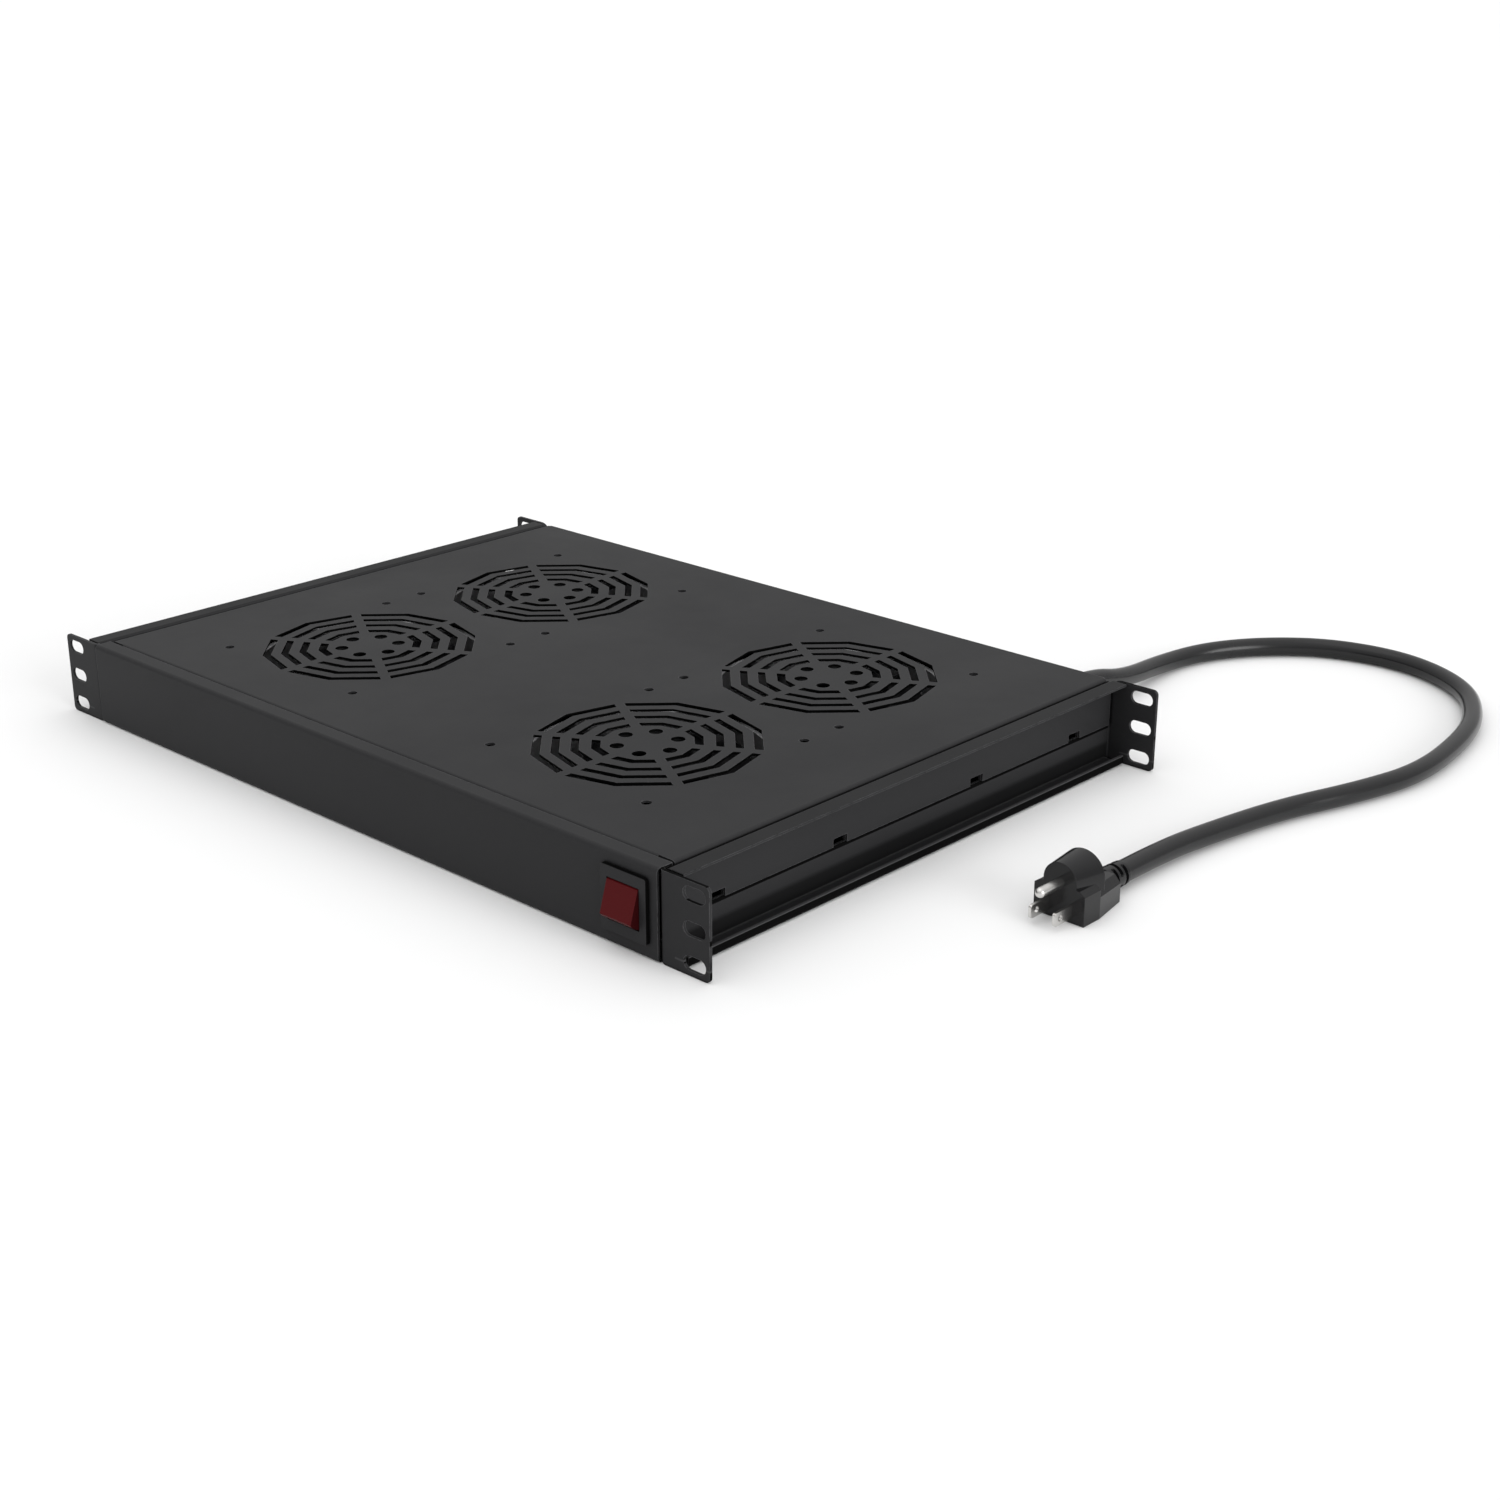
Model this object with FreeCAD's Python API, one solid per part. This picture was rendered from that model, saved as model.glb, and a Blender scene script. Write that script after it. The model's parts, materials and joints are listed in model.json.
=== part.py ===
import FreeCAD, Part
import math
import os
from FreeCAD import Vector

# One-rack-unit fan tray: a folded sheet-metal tray with a punched lid, a mounting bracket and
# an overlapping rail on each side, four axial mains fans, a rocker switch and a mains cord.
#
# Frame: millimetres, X to the right seen from the front, Y to the back, Z up. The origin is at
# the centre of the bounding box of the tray without its cord, on the surface that it stands on.

os.makedirs("parts", exist_ok=True)

# --- rack interface ---------------------------------------------------------------------------
rack_width = 482.6            # over the ears
rack_height = 43.6            # panel of one rack unit
ear_width = 29.3              # from the casing's side to the ear's edge
ear_slot_inset = 8.75         # middle of a slot from the ear's edge
rack_hole_pitch = 15.875      # three holes to the unit
ear_slot_length = 13.0
ear_slot_height = 6.8
ear_corner = 2.5
ear_inner_corner = 3.5
rear_ear_relief = 7.5

# --- folded sheet metal -----------------------------------------------------------------------
tray_depth = 326.0            # front face to the back of the rear ears
sheet = 1.2                   # tray, lid and rails
bracket_sheet = 1.5
bend = 1.0                    # inside radius of every fold
ear_setback = 1.0             # the front face stands proud of the ears
front_return = 9.4            # fold along the top of the front face
rear_return = 8.0
tray_side_fold = 10.0
lid_side_fold = 8.0
lid_rear_fold = 12.0
lid_rear_lap = 4.8            # rear fold's level part, ahead of the side folds' end
seam = 0.4                    # open line between two folded sheets
lid_tongue = 5.0              # joggled under the front return
joggle_flat = 6.0             # level sheet behind the joggle, welded into the lid
slit_length = 10.0            # corner reliefs at both ends of the front seam
slit_width = 1.2
fold_relief = 1.6             # gap left where two folds would meet

# --- side rails and bottom flanges ------------------------------------------------------------
rail_flange = 10.3            # outward from the bracket
rail_drop = 24.2              # height of the rail over the bracket
rail_end_gap = 1.4            # to the ears
bottom_flange = 11.7
bottom_lip = 5.6
notch_length = 9.5
notch_height = 4.0
notch_offsets = (49.75, 129.5)   # from the middle of the depth

# --- fans -------------------------------------------------------------------------------------
fan_size = 119.5
fan_headroom = 3.2            # over the fans, to the lid
fan_hole_inset = 7.25         # screw holes from the fan's sides
fan_hole_radius = 2.25
column_gap = 90.5             # aisle between the two columns of fans
row_gap = 10.5
rear_bay = 36.25              # from the fans to the back of the ears, for the mains entry
fan_corner = 5.0
fan_web_inset = 0.2           # round wall inside the flanges' sides
fan_flange = 4.5
fan_wall = 2.2
throat_flare = 1.2
hub_radius = 31.5
hub_wall = 2.0
hub_floor = 2.5
hub_boss_radius = 6.0
hub_boss_height = 4.0
blade_margin = 0.5            # blades inside the hub's ends
motor_plate_radius = 30.5
motor_plate = 3.5
strut_width = 4.5
strut_count = 4
blade_count = 5
blade_tip_gap = 1.3
blade_root_pitch = 44.0       # degrees from the plane of rotation
blade_tip_pitch = 30.0
blade_root_chord = 31.0
blade_tip_chord = 42.0
blade_camber = 4.0
blade_sheet = 1.2
blade_overrun = 2.0           # last section past the tip, trimmed off
rotor_inset = 4.5             # hub floor above the fan's intake face
running_gap = 1.0             # turning hub to standing motor plate
shaft_radius = 2.5
shaft_clearance = 0.05
shaft_socket = 1.25           # its end above the hub's underside
press_clearance = 0.02
bearing_radius = 4.0
bearing_tube_radius = 5.6
bearing_gap = 3.5             # bearing tube clear of the hub's boss
stator_radius = 24.0
stator_height = 13.0
stator_slots = 4
stator_slot_width = 6.0

# --- punched grilles --------------------------------------------------------------------------
spoke_count = 6
spoke_width = 5.0
grille_inset = 1.05           # outermost slots inside the fan's throat
slot_rings = ((0.0, 4.3), (9.5, 13.5), (19.0, 23.0), (29.0, 33.5))      # in from the outermost
centre_hole_radius = 3.5
centre_hole_inset = 41.5
driver_hole_radius = 2.5
intake_rings = ((0.0, 9.0), (13.5, 22.5), (27.0, 36.0))

# --- fasteners --------------------------------------------------------------------------------
fan_screw_radius = 2.0
fan_screw_head_radius = 3.6
fan_screw_head = 2.2
fan_screw_end = 0.3           # above the floor's underside
thread_clearance = 0.05
lid_screw_radius = 1.5
lid_screw_head_radius = 2.9
lid_screw_head = 1.8
lid_screw_length = 6.0
lid_screw_side = 32.0         # outer screw from the casing's left side
lid_screw_entry = 56.0        # right-hand screw from the cord's entry
lid_screw_drop = 6.5          # below the top of the lid

# --- rocker switch ----------------------------------------------------------------------------
switch_inset = 18.7           # its middle from the casing's right side
switch_z = 22.4
bezel_width = 27.5
bezel_height = 30.5
bezel_thickness = 2.0
bezel_corner = 1.2
switch_body_corner = 0.8
well_corner = 0.2
switch_body_width = 23.6
switch_body_height = 26.4
switch_body_depth = 20.0
cutout_clearance = 0.2
rocker_width = 18.8
rocker_radius = 9.6           # its ends, about the pivot
rocker_gap = 0.3
rocker_tilt = 17.0            # each way from the middle
rocker_sink = 3.0             # pivot behind the bezel's face
rocker_proud = 0.3            # pressed end above the bezel's face
rocker_back = 4.0
rocker_pin_radius = 1.2
rocker_pin_length = 1.0
terminal_width = 4.8
terminal_thickness = 0.8
terminal_length = 9.0
terminal_spread = 11.0

# --- cord, gland and inner wiring -------------------------------------------------------------
cord_diameter = 10.6
gland_offset = 1.25           # its middle beyond the fans' side
gland_gap = 0.6               # under the lid's rear fold
gland_thread_radius = 8.0
gland_hex = 22.0              # across the flats
gland_hex_height = 5.0
gland_cap_length = 14.0
gland_cap_hex = 21.0
gland_cap_base = 5.6          # hexagonal part of the cap
gland_cap_step = 0.5          # cone inside the hexagon
gland_cap_end_radius = 7.5
locknut_height = 4.0
gland_thread_reach = 2.0      # sleeve past the nut
bore_clearance = 0.05
block_width = 34.0
block_gap = 2.1               # behind the rear row of fans
block_foot = 5.0
block_depth = 17.0
block_height = 16.0
block_standoff = 3.0
block_pole_radius = 2.4
block_pole_depth = 3.0
block_poles = 4
block_screw_clearance = 0.3
block_screw_sink = 0.5
lead_diameter = 5.0
fan_lead_diameter = 3.0
lead_run = 34.0               # straight run of the switch lead at both ends
fan_lead_run = 24.0
fan_lead_spacing = 4.5        # between leads side by side
aisle_lane = 32.0             # fan leads in the aisle, in from the fans
lane_spacing = 16.0
aisle_stagger = 2.1           # leads beside the block's middle
aisle_drift = 1.0             # slack of a lead across its run
floor_gap = 0.1

# --- plug (three-pin, two flat blades and a round earth pin) ----------------------------------
plug_x = 308.9
plug_y = -9.8                 # its contact face
plug_width = 27.0
plug_block_height = 14.0
plug_block_depth = 12.0
plug_shoulder = 3.0
plug_shoulder_rise = 2.1
plug_face_radius = 8.8        # rounded top at the contact face
plug_face_height = 26.8
plug_dome_radius = 11.6       # and where the moulding is widest
plug_dome_depth = 17.5
plug_height = 28.0
plug_neck_width = 19.4
plug_neck_height = 12.6
plug_neck_bevel = 3.5
plug_length = 33.0
plug_floor = 0.1
relief_radius = 6.4
relief_drop = 0.2             # neck's floor to the strain relief's lowest line
relief_length = 15.0
relief_groove = 1.3
relief_groove_depth = 0.8
relief_grooves = 3
blade_spacing = 12.7
blade_height = 6.3
blade_metal = 1.5
blade_length = 12.6
blade_corner = 1.2
blade_hole_radius = 1.5
blade_hole_inset = 4.0
earth_radius = 2.4
earth_length = 16.6
earth_offset = 11.9           # earth pin above the blades
blade_z = 5.6
contact_inset = 3.0           # length of each contact inside the moulding

# --- derived places ---------------------------------------------------------------------------
tilt = math.radians(rocker_tilt)


def rocker_face():
    """Distance of the rocker's flat face from its pivot, and half the height of that face.

    Its pressed end stands rocker_proud above the bezel: face*cos(tilt) - half*sin(tilt) is the
    height of that end over the pivot, and both lie on the circle of rocker_radius.
    """
    pressed = rocker_sink + rocker_proud
    swing = math.acos(pressed / rocker_radius) - tilt
    return rocker_radius * math.cos(swing), rocker_radius * math.sin(swing)


rocker_face_offset, rocker_half_height = rocker_face()
rocker_out = rocker_face_offset * math.cos(tilt) + rocker_half_height * math.sin(tilt)
rocker_reach = bezel_thickness + rocker_out - rocker_sink
front_y = (rocker_reach - tray_depth - lid_screw_head) / 2
rear_y = front_y + tray_depth
middle_y = (front_y + rear_y) / 2
half_width = rack_width / 2 - ear_width
rack_hole_spacing = rack_width - 2 * ear_slot_inset
floor_top = sheet
lid_under = rack_height - sheet
inner_front_y = front_y + sheet
rear_wall_y = rear_y - sheet          # outer face of the tray's rear wall, under the lid's fold
ear_front_y = front_y + ear_setback
web_outer = half_width + bracket_sheet
rail_outer = web_outer + rail_flange
rail_bottom = rack_height - rail_drop
fan_throat = fan_size / 2 - fan_wall
fan_top = lid_under - fan_headroom
rotor_tip = fan_throat - blade_tip_gap
hub_top = fan_top - motor_plate - running_gap
boss_top = floor_top + rotor_inset + hub_floor + hub_boss_height
bearing_tube_length = fan_top - motor_plate - boss_top - bearing_gap
fan_hole_spacing = fan_size - 2 * fan_hole_inset
fan_columns = fan_size + column_gap
fan_rows = fan_size + row_gap
rear_row = rear_y - rear_bay - fan_size / 2
front_row = rear_row - fan_rows
fan_centres = [(side * fan_columns / 2, row) for row in (front_row, rear_row)
               for side in (-1, 1)]
grille_radius = fan_throat - grille_inset
centre_hole_circle = grille_radius - centre_hole_inset
fan_names = ("front_left", "front_right", "rear_left", "rear_right")
switch_x = half_width - switch_inset
bezel_face_y = front_y - bezel_thickness
pivot_y = bezel_face_y + rocker_sink
fan_side = fan_columns / 2 + fan_size / 2
aisle_side = fan_columns / 2 - fan_size / 2
gland_x = fan_side + gland_offset
gland_z = rack_height - lid_rear_fold - gland_gap - gland_hex / 2
gland_flange_y = rear_wall_y
gland_mouth_y = gland_flange_y + gland_hex_height + gland_cap_length
cord_radius = cord_diameter / 2
lid_screw_places = (-half_width + lid_screw_side, 0, gland_x - lid_screw_entry)
block_front_y = rear_row + fan_size / 2 + block_gap
block_back_y = block_front_y + block_depth
block_base = floor_top + block_standoff
block_top = block_base + block_height + cord_radius
block_x0 = gland_x - block_width / 2
block_x1 = gland_x + block_width / 2
plug_cord_z = plug_floor + relief_drop + relief_radius


# --- drawing helpers --------------------------------------------------------------------------
def on_xy(a, b, level):
    """Point of a profile drawn in plan, at a height."""
    return Vector(a, b, level)


def on_xz(a, b, level):
    """Point of a profile drawn across the tray, at a depth."""
    return Vector(a, level, b)


def on_yz(a, b, level):
    """Point of a profile drawn along the tray, at a place across it."""
    return Vector(level, a, b)


def unit(vector):
    """The same direction at length one."""
    return Vector(vector).normalize()


def corner_arc(before, corner, after, radius):
    """Start, middle and end of the arc that rounds a corner between two straight edges."""
    back = unit(before - corner)
    ahead = unit(after - corner)
    half = back.getAngle(ahead) / 2
    start = corner + back * (radius / math.tan(half))
    end = corner + ahead * (radius / math.tan(half))
    centre = corner + unit(back + ahead) * (radius / math.sin(half))
    return start, centre + unit(corner - centre) * radius, end


def rounded_wire(points, radii, plane, level):
    """Closed wire through plan points, each corner rounded by its own radius."""
    corners = [plane(a, b, level) for a, b in points]
    count = len(corners)
    arcs = []
    for i, corner in enumerate(corners):
        if radii[i] > 0:
            arcs.append(corner_arc(corners[i - 1], corner, corners[(i + 1) % count], radii[i]))
        else:
            arcs.append((corner, corner, corner))
    edges = []
    for i, (start, middle, end) in enumerate(arcs):
        if radii[i] > 0:
            edges.append(Part.Arc(start, middle, end).toShape())
        following = arcs[(i + 1) % count][0]
        if end.distanceToPoint(following) > 1e-6:
            edges.append(Part.LineSegment(end, following).toShape())
    return Part.Wire(edges)


def prism(points, radii, plane, start, end):
    """Solid between two levels with a rounded polygon as its section."""
    if not isinstance(radii, (list, tuple)):
        radii = [radii] * len(points)
    face = Part.Face(rounded_wire(points, radii, plane, start))
    return face.extrude(plane(0, 0, end) - plane(0, 0, start))


def rectangle(a0, a1, b0, b1):
    """Corners of a rectangle, anticlockwise."""
    return [(a0, b0), (a1, b0), (a1, b1), (a0, b1)]


def block(x0, x1, y0, y1, z0, z1):
    """Box between two corners."""
    return Part.makeBox(x1 - x0, y1 - y0, z1 - z0, Vector(x0, y0, z0))


def bent_sheet(path, thickness, plane, start, end):
    """Folded sheet: the path is one of its faces, and its thickness lies left of the path.

    A negative thickness lies to the right. Every fold has the same inside radius.
    """
    points = [Vector(a, b, 0) for a, b in path]
    runs = [unit(points[i + 1] - points[i]) for i in range(len(points) - 1)]
    normals = [Vector(-run.y, run.x, 0) for run in runs]
    other = [points[0] + normals[0] * thickness]
    path_radii = [0]
    other_radii = [0]
    for i in range(1, len(points) - 1):
        both = normals[i - 1] + normals[i]
        other.append(points[i] + both * (thickness / (1 + normals[i - 1].dot(normals[i]))))
        turns_left = runs[i - 1].cross(runs[i]).z > 0
        outside = turns_left == (thickness > 0)
        path_radii.append(bend + abs(thickness) if outside else bend)
        other_radii.append(bend if outside else bend + abs(thickness))
    other.append(points[-1] + normals[-1] * thickness)
    path_radii.append(0)
    other_radii.append(0)
    outline = [(p.x, p.y) for p in points] + [(p.x, p.y) for p in reversed(other)]
    return prism(outline, path_radii + other_radii[::-1], plane, start, end)


def disc(x, y, radius, z0, z1):
    """Upright cylinder between two heights."""
    return Part.makeCylinder(radius, z1 - z0, Vector(x, y, z0))


def rod(x, z, radius, y0, y1):
    """Cylinder along the depth between two places."""
    return Part.makeCylinder(radius, y1 - y0, Vector(x, y0, z), Vector(0, 1, 0))


def hexagon(across_flats, x, z, y0, y1):
    """Hexagonal bar along the depth."""
    radius = across_flats / math.sqrt(3)
    corners = [(x + radius * math.cos(math.radians(60 * k)),
                z + radius * math.sin(math.radians(60 * k))) for k in range(6)]
    return prism(corners, 0, on_xz, y0, y1)


def mirrored(shape):
    """The same piece on the other side of the tray."""
    return shape.mirror(Vector(0, 0, 0), Vector(1, 0, 0))


def joined(first, *others):
    """One solid out of touching ones, without seams between them."""
    return first.fuse(list(others)).removeSplitter()


def tube(points, diameter, name):
    """Round tube along straight runs with the largest tangent arcs that the runs allow."""
    route = [Vector(*point) for point in points]
    edges = []
    radii = []
    position = route[0]
    for i in range(1, len(route) - 1):
        back = route[i - 1] - route[i]
        ahead = route[i + 1] - route[i]
        turn = math.pi - back.getAngle(ahead)
        radius = 0.45 * min(back.Length, ahead.Length) / math.tan(turn / 2)
        radii.append(radius)
        start, middle, end = corner_arc(route[i - 1], route[i], route[i + 1], radius)
        edges.append(Part.LineSegment(position, start).toShape())
        edges.append(Part.Arc(start, middle, end).toShape())
        position = end
    edges.append(Part.LineSegment(position, route[-1]).toShape())
    path = Part.Wire(edges)
    section = Part.Wire(Part.Circle(route[0], route[1] - route[0], diameter / 2).toShape())
    shell = Part.BRepOffsetAPI.MakePipeShell(path)
    shell.add(section)
    shell.build()
    shell.makeSolid()
    solid = Part.Solid(shell.shape())
    expected = math.pi * diameter ** 2 / 4 * path.Length
    print(name, "length", round(path.Length, 1), "radii", [round(r) for r in radii],
          "volume ratio", round(solid.Volume / expected, 4))
    return solid


# --- punched patterns -------------------------------------------------------------------------
def ring_slot(outer, inner, centre_x, centre_y, turn, z0, z1):
    """One slot of a polygonal ring, between two parallel-sided spokes.

    The ring has a corner on each spoke and one half-way between them, so the slot is two
    straight legs. Along a leg, the part 1 - w / (2 R sin(half)) of it lies clear of the spoke.
    """
    half = math.pi / spoke_count
    points = []
    for radius, sides in ((outer, (1, 0, -1)), (inner, (-1, 0, 1))):
        clear = 1 - spoke_width / (2 * radius * math.sin(half))
        for side in sides:
            along = clear * abs(side)
            x = radius + along * (radius * math.cos(half) - radius)
            y = side * along * radius * math.sin(half)
            points.append((centre_x + x * math.cos(turn) - y * math.sin(turn),
                           centre_y + x * math.sin(turn) + y * math.cos(turn)))
    return prism(points, 0, on_xy, z0, z1)


def grille_cutters(rings, centre_x, centre_y, z0, z1):
    """All the slots of one fan's grille, for rings given by how far in they start and end."""
    turns = [2 * math.pi * k / spoke_count for k in range(spoke_count)]
    return [ring_slot(grille_radius - start, grille_radius - end, centre_x, centre_y, turn,
                      z0, z1)
            for start, end in rings for turn in turns]


def fan_corners(centre_x, centre_y):
    """The four screw places of one fan."""
    half = fan_hole_spacing / 2
    return [(centre_x + i * half, centre_y + j * half) for i in (-1, 1) for j in (-1, 1)]


# --- casing -----------------------------------------------------------------------------------
def make_tray():
    """Front face, floor and rear wall folded from one sheet, with low side folds."""
    path = [(front_y + front_return, rack_height), (front_y, rack_height), (front_y, 0),
            (rear_wall_y, 0), (rear_wall_y, lid_under), (rear_wall_y - rear_return, lid_under)]
    tray = bent_sheet(path, sheet, on_yz, -half_width, half_width)
    corner_reliefs = []
    for side in (-1, 1):
        inner = side * (half_width - sheet - fold_relief)
        outer = side * (half_width + 1)
        low, high = sorted((inner, outer))
        corner_reliefs.append(block(low, high, rear_wall_y - rear_return - 1, rear_wall_y + 1,
                                    bend + sheet, rack_height + 1))
    tray = tray.cut(corner_reliefs)
    fold_path = [(half_width - sheet - bend - 2, 0), (half_width, 0), (half_width, tray_side_fold)]
    fold = bent_sheet(fold_path, sheet, on_xz, inner_front_y + fold_relief,
                      rear_wall_y - sheet - fold_relief)
    edge_front = inner_front_y + fold_relief
    edge_rear = rear_wall_y - sheet - fold_relief
    for piece in (fold, mirrored(fold)):
        middle = piece.BoundBox.Center.x
        side = 1 if middle > 0 else -1
        low, high = sorted((side * (half_width - sheet - bend - 2), side * (half_width + 1)))
        tray = tray.cut(block(low, high, edge_front, edge_rear, -1, bend + sheet))
        tray = tray.fuse(piece)
    cutters = []
    for x, y in fan_centres:
        cutters += grille_cutters(intake_rings, x, y, -1, floor_top + 1)
        for hole_x, hole_y in fan_corners(x, y):
            cutters.append(disc(hole_x, hole_y, fan_screw_radius + thread_clearance, -1,
                                floor_top + 1))
    for x in lid_screw_places:
        cutters.append(rod(x, rack_height - lid_screw_drop, lid_screw_radius + thread_clearance,
                           rear_wall_y - 2 * sheet, rear_wall_y + 1))
    cutters.append(rod(gland_x, gland_z, gland_thread_radius + bore_clearance,
                       rear_wall_y - 2 * sheet, rear_wall_y + 1))
    half_w = switch_body_width / 2 + cutout_clearance
    half_h = switch_body_height / 2 + cutout_clearance
    cutters.append(block(switch_x - half_w, switch_x + half_w, front_y - 1, inner_front_y + 1,
                         switch_z - half_h, switch_z + half_h))
    return tray.cut(cutters).removeSplitter()


def make_lid():
    """Punched lid: side folds, a rear fold and a tongue joggled under the front return."""
    front_edge = front_y + front_return + seam
    joggle = front_edge + sheet
    flat_front = front_edge + slit_width
    body_rear = rear_y - sheet - fold_relief
    side_path = [(-half_width, rack_height - lid_side_fold), (-half_width, rack_height),
                 (half_width, rack_height), (half_width, rack_height - lid_side_fold)]
    lid = bent_sheet(side_path, -sheet, on_xz, flat_front, body_rear)
    inner_half = half_width - slit_length
    tongue_path = [(front_edge - seam - lid_tongue, lid_under), (front_edge, lid_under),
                   (joggle, rack_height), (joggle + joggle_flat + sheet, rack_height)]
    tongue = bent_sheet(tongue_path, -sheet, on_yz, -inner_half, inner_half)
    lid = lid.cut(block(-inner_half, inner_half, flat_front - 1, joggle + joggle_flat,
                        lid_under - 1, rack_height + 1))
    rear_path = [(body_rear - lid_rear_lap, rack_height), (rear_y, rack_height),
                 (rear_y, rack_height - lid_rear_fold)]
    rear_half = half_width - sheet - fold_relief
    rear_fold = bent_sheet(rear_path, -sheet, on_yz, -rear_half, rear_half)
    lid = lid.fuse([tongue, rear_fold])
    cutters = []
    for x, y in fan_centres:
        cutters += grille_cutters(slot_rings, x, y, lid_under - 1, rack_height + 1)
        for k in range(spoke_count):
            turn = 2 * math.pi * k / spoke_count
            cutters.append(disc(x + centre_hole_circle * math.cos(turn),
                                y + centre_hole_circle * math.sin(turn),
                                centre_hole_radius, lid_under - 1, rack_height + 1))
        for hole_x, hole_y in fan_corners(x, y):
            cutters.append(disc(hole_x, hole_y, driver_hole_radius, lid_under - 1,
                                rack_height + 1))
    for x in lid_screw_places:
        cutters.append(rod(x, rack_height - lid_screw_drop, lid_screw_radius + thread_clearance,
                           rear_y - 2 * sheet, rear_y + 1))
    return lid.cut(cutters).removeSplitter()


def ear_slots(y0, y1):
    """The three rack slots of one ear."""
    slots = []
    for k in (-1, 0, 1):
        z = rack_height / 2 + k * rack_hole_pitch
        x = rack_hole_spacing / 2
        outline = rectangle(x - ear_slot_length / 2, x + ear_slot_length / 2,
                            z - ear_slot_height / 2, z + ear_slot_height / 2)
        slots.append(prism(outline, ear_slot_height / 2 - 0.01, on_xz, y0, y1))
    return slots


def notch_places():
    """Middles of the hook notches along the depth."""
    return [middle_y + side * offset for offset in notch_offsets for side in (-1, 1)]


def make_bracket():
    """Right-hand bracket: web, front and rear ears, and an outward bottom flange with a lip."""
    ear_x = rack_width / 2
    path = [(ear_x, ear_front_y), (half_width, ear_front_y), (half_width, rear_y), (ear_x, rear_y)]
    bracket = bent_sheet(path, -bracket_sheet, on_xy, 0, rack_height)
    bracket = bracket.common(block(half_width - 1, ear_x, front_y, rear_y, 0, rack_height))
    web_front = ear_front_y + bracket_sheet + bend
    web_rear = rear_y - bracket_sheet - bend
    bracket = bracket.cut(block(half_width - 1, web_outer + 1, web_front, web_rear,
                                lid_under, rack_height + 1))
    outline = rectangle(half_width, ear_x, 0, rack_height)
    front_keep = prism(outline, [ear_inner_corner, ear_corner, ear_corner, 0], on_xz,
                       front_y - 1, web_front)
    rear_keep = prism(outline, [ear_inner_corner, ear_corner, ear_corner, rear_ear_relief],
                      on_xz, web_rear, rear_y + 1)
    middle_keep = block(half_width - 1, ear_x, web_front, web_rear, -1, rack_height + 1)
    bracket = bracket.common(front_keep.fuse([rear_keep, middle_keep]))
    flange_path = [(half_width, 3 * bend), (half_width, 0), (web_outer + bottom_flange, 0),
                   (web_outer + bottom_flange, bottom_lip)]
    flange_front = web_front + rail_end_gap
    flange_rear = web_rear - rail_end_gap
    flange = bent_sheet(flange_path, bracket_sheet, on_xz, flange_front, flange_rear)
    bracket = bracket.cut(block(half_width - 1, web_outer + 1, flange_front, flange_rear,
                                -1, 3 * bend))
    bracket = bracket.fuse(flange)
    cutters = ear_slots(front_y - 1, ear_front_y + 2 * bracket_sheet)
    cutters += ear_slots(rear_y - 2 * bracket_sheet, rear_y + 1)
    for y in notch_places():
        cutters.append(block(half_width - 1, web_outer + 1, y - notch_length / 2,
                             y + notch_length / 2, rail_bottom, rail_bottom + notch_height))
    return bracket.cut(cutters).removeSplitter()


def make_rail():
    """Right-hand rail: a skirt over the bracket's web with an outward flange along its top."""
    path = [(web_outer, rail_bottom), (web_outer, rack_height), (rail_outer, rack_height)]
    rail_front = ear_front_y + bracket_sheet + rail_end_gap
    rail_rear = rear_y - bracket_sheet - rail_end_gap
    rail = bent_sheet(path, -sheet, on_xz, rail_front, rail_rear)
    notches = [block(web_outer - 1, web_outer + sheet + 1, y - notch_length / 2,
                     y + notch_length / 2, rail_bottom - 1, rail_bottom + notch_height)
               for y in notch_places()]
    return rail.cut(notches)


# --- fans, drawn about their own axis and then set in place ------------------------------------
def make_fan_housing():
    """Cast frame: two square flanges on a round wall, and a motor plate on struts at the top."""
    half = fan_size / 2
    square = rectangle(-half, half, -half, half)
    lower = prism(square, fan_corner, on_xy, floor_top, floor_top + fan_flange)
    upper = prism(square, fan_corner, on_xy, fan_top - fan_flange, fan_top)
    housing = joined(disc(0, 0, half - fan_web_inset, floor_top, fan_top), lower, upper)
    flared = fan_throat + throat_flare
    cutters = [disc(0, 0, fan_throat, floor_top - 1, fan_top + 1),
               Part.makeCone(flared, fan_throat, throat_flare, Vector(0, 0, floor_top)),
               Part.makeCone(fan_throat, flared, throat_flare,
                             Vector(0, 0, fan_top - throat_flare))]
    for x, y in fan_corners(0, 0):
        cutters.append(disc(x, y, fan_hole_radius, floor_top - 1, fan_top + 1))
    housing = housing.cut(cutters)
    plate_bottom = fan_top - motor_plate
    plate = disc(0, 0, motor_plate_radius, plate_bottom, fan_top)
    reach = fan_throat + fan_wall / 2
    strut = block(motor_plate_radius - strut_width, reach, -strut_width / 2, strut_width / 2,
                  plate_bottom, fan_top - throat_flare)
    struts = []
    for k in range(strut_count):
        piece = strut.copy()
        piece.rotate(Vector(0, 0, 0), Vector(0, 0, 1), 360 * k / strut_count)
        struts.append(piece)
    tube_bottom = plate_bottom - bearing_tube_length
    bearing_tube = disc(0, 0, bearing_tube_radius, tube_bottom, fan_top)
    housing = joined(housing, plate, bearing_tube, *struts)
    return housing.cut(disc(0, 0, bearing_radius + press_clearance, tube_bottom - 1,
                            plate_bottom))


def make_bearing():
    """Sintered sleeve in the bearing tube."""
    top = fan_top - motor_plate
    bottom = top - bearing_tube_length
    sleeve = disc(0, 0, bearing_radius, bottom, top)
    return sleeve.cut(disc(0, 0, shaft_radius + shaft_clearance, bottom - 1, top + 1))


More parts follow.
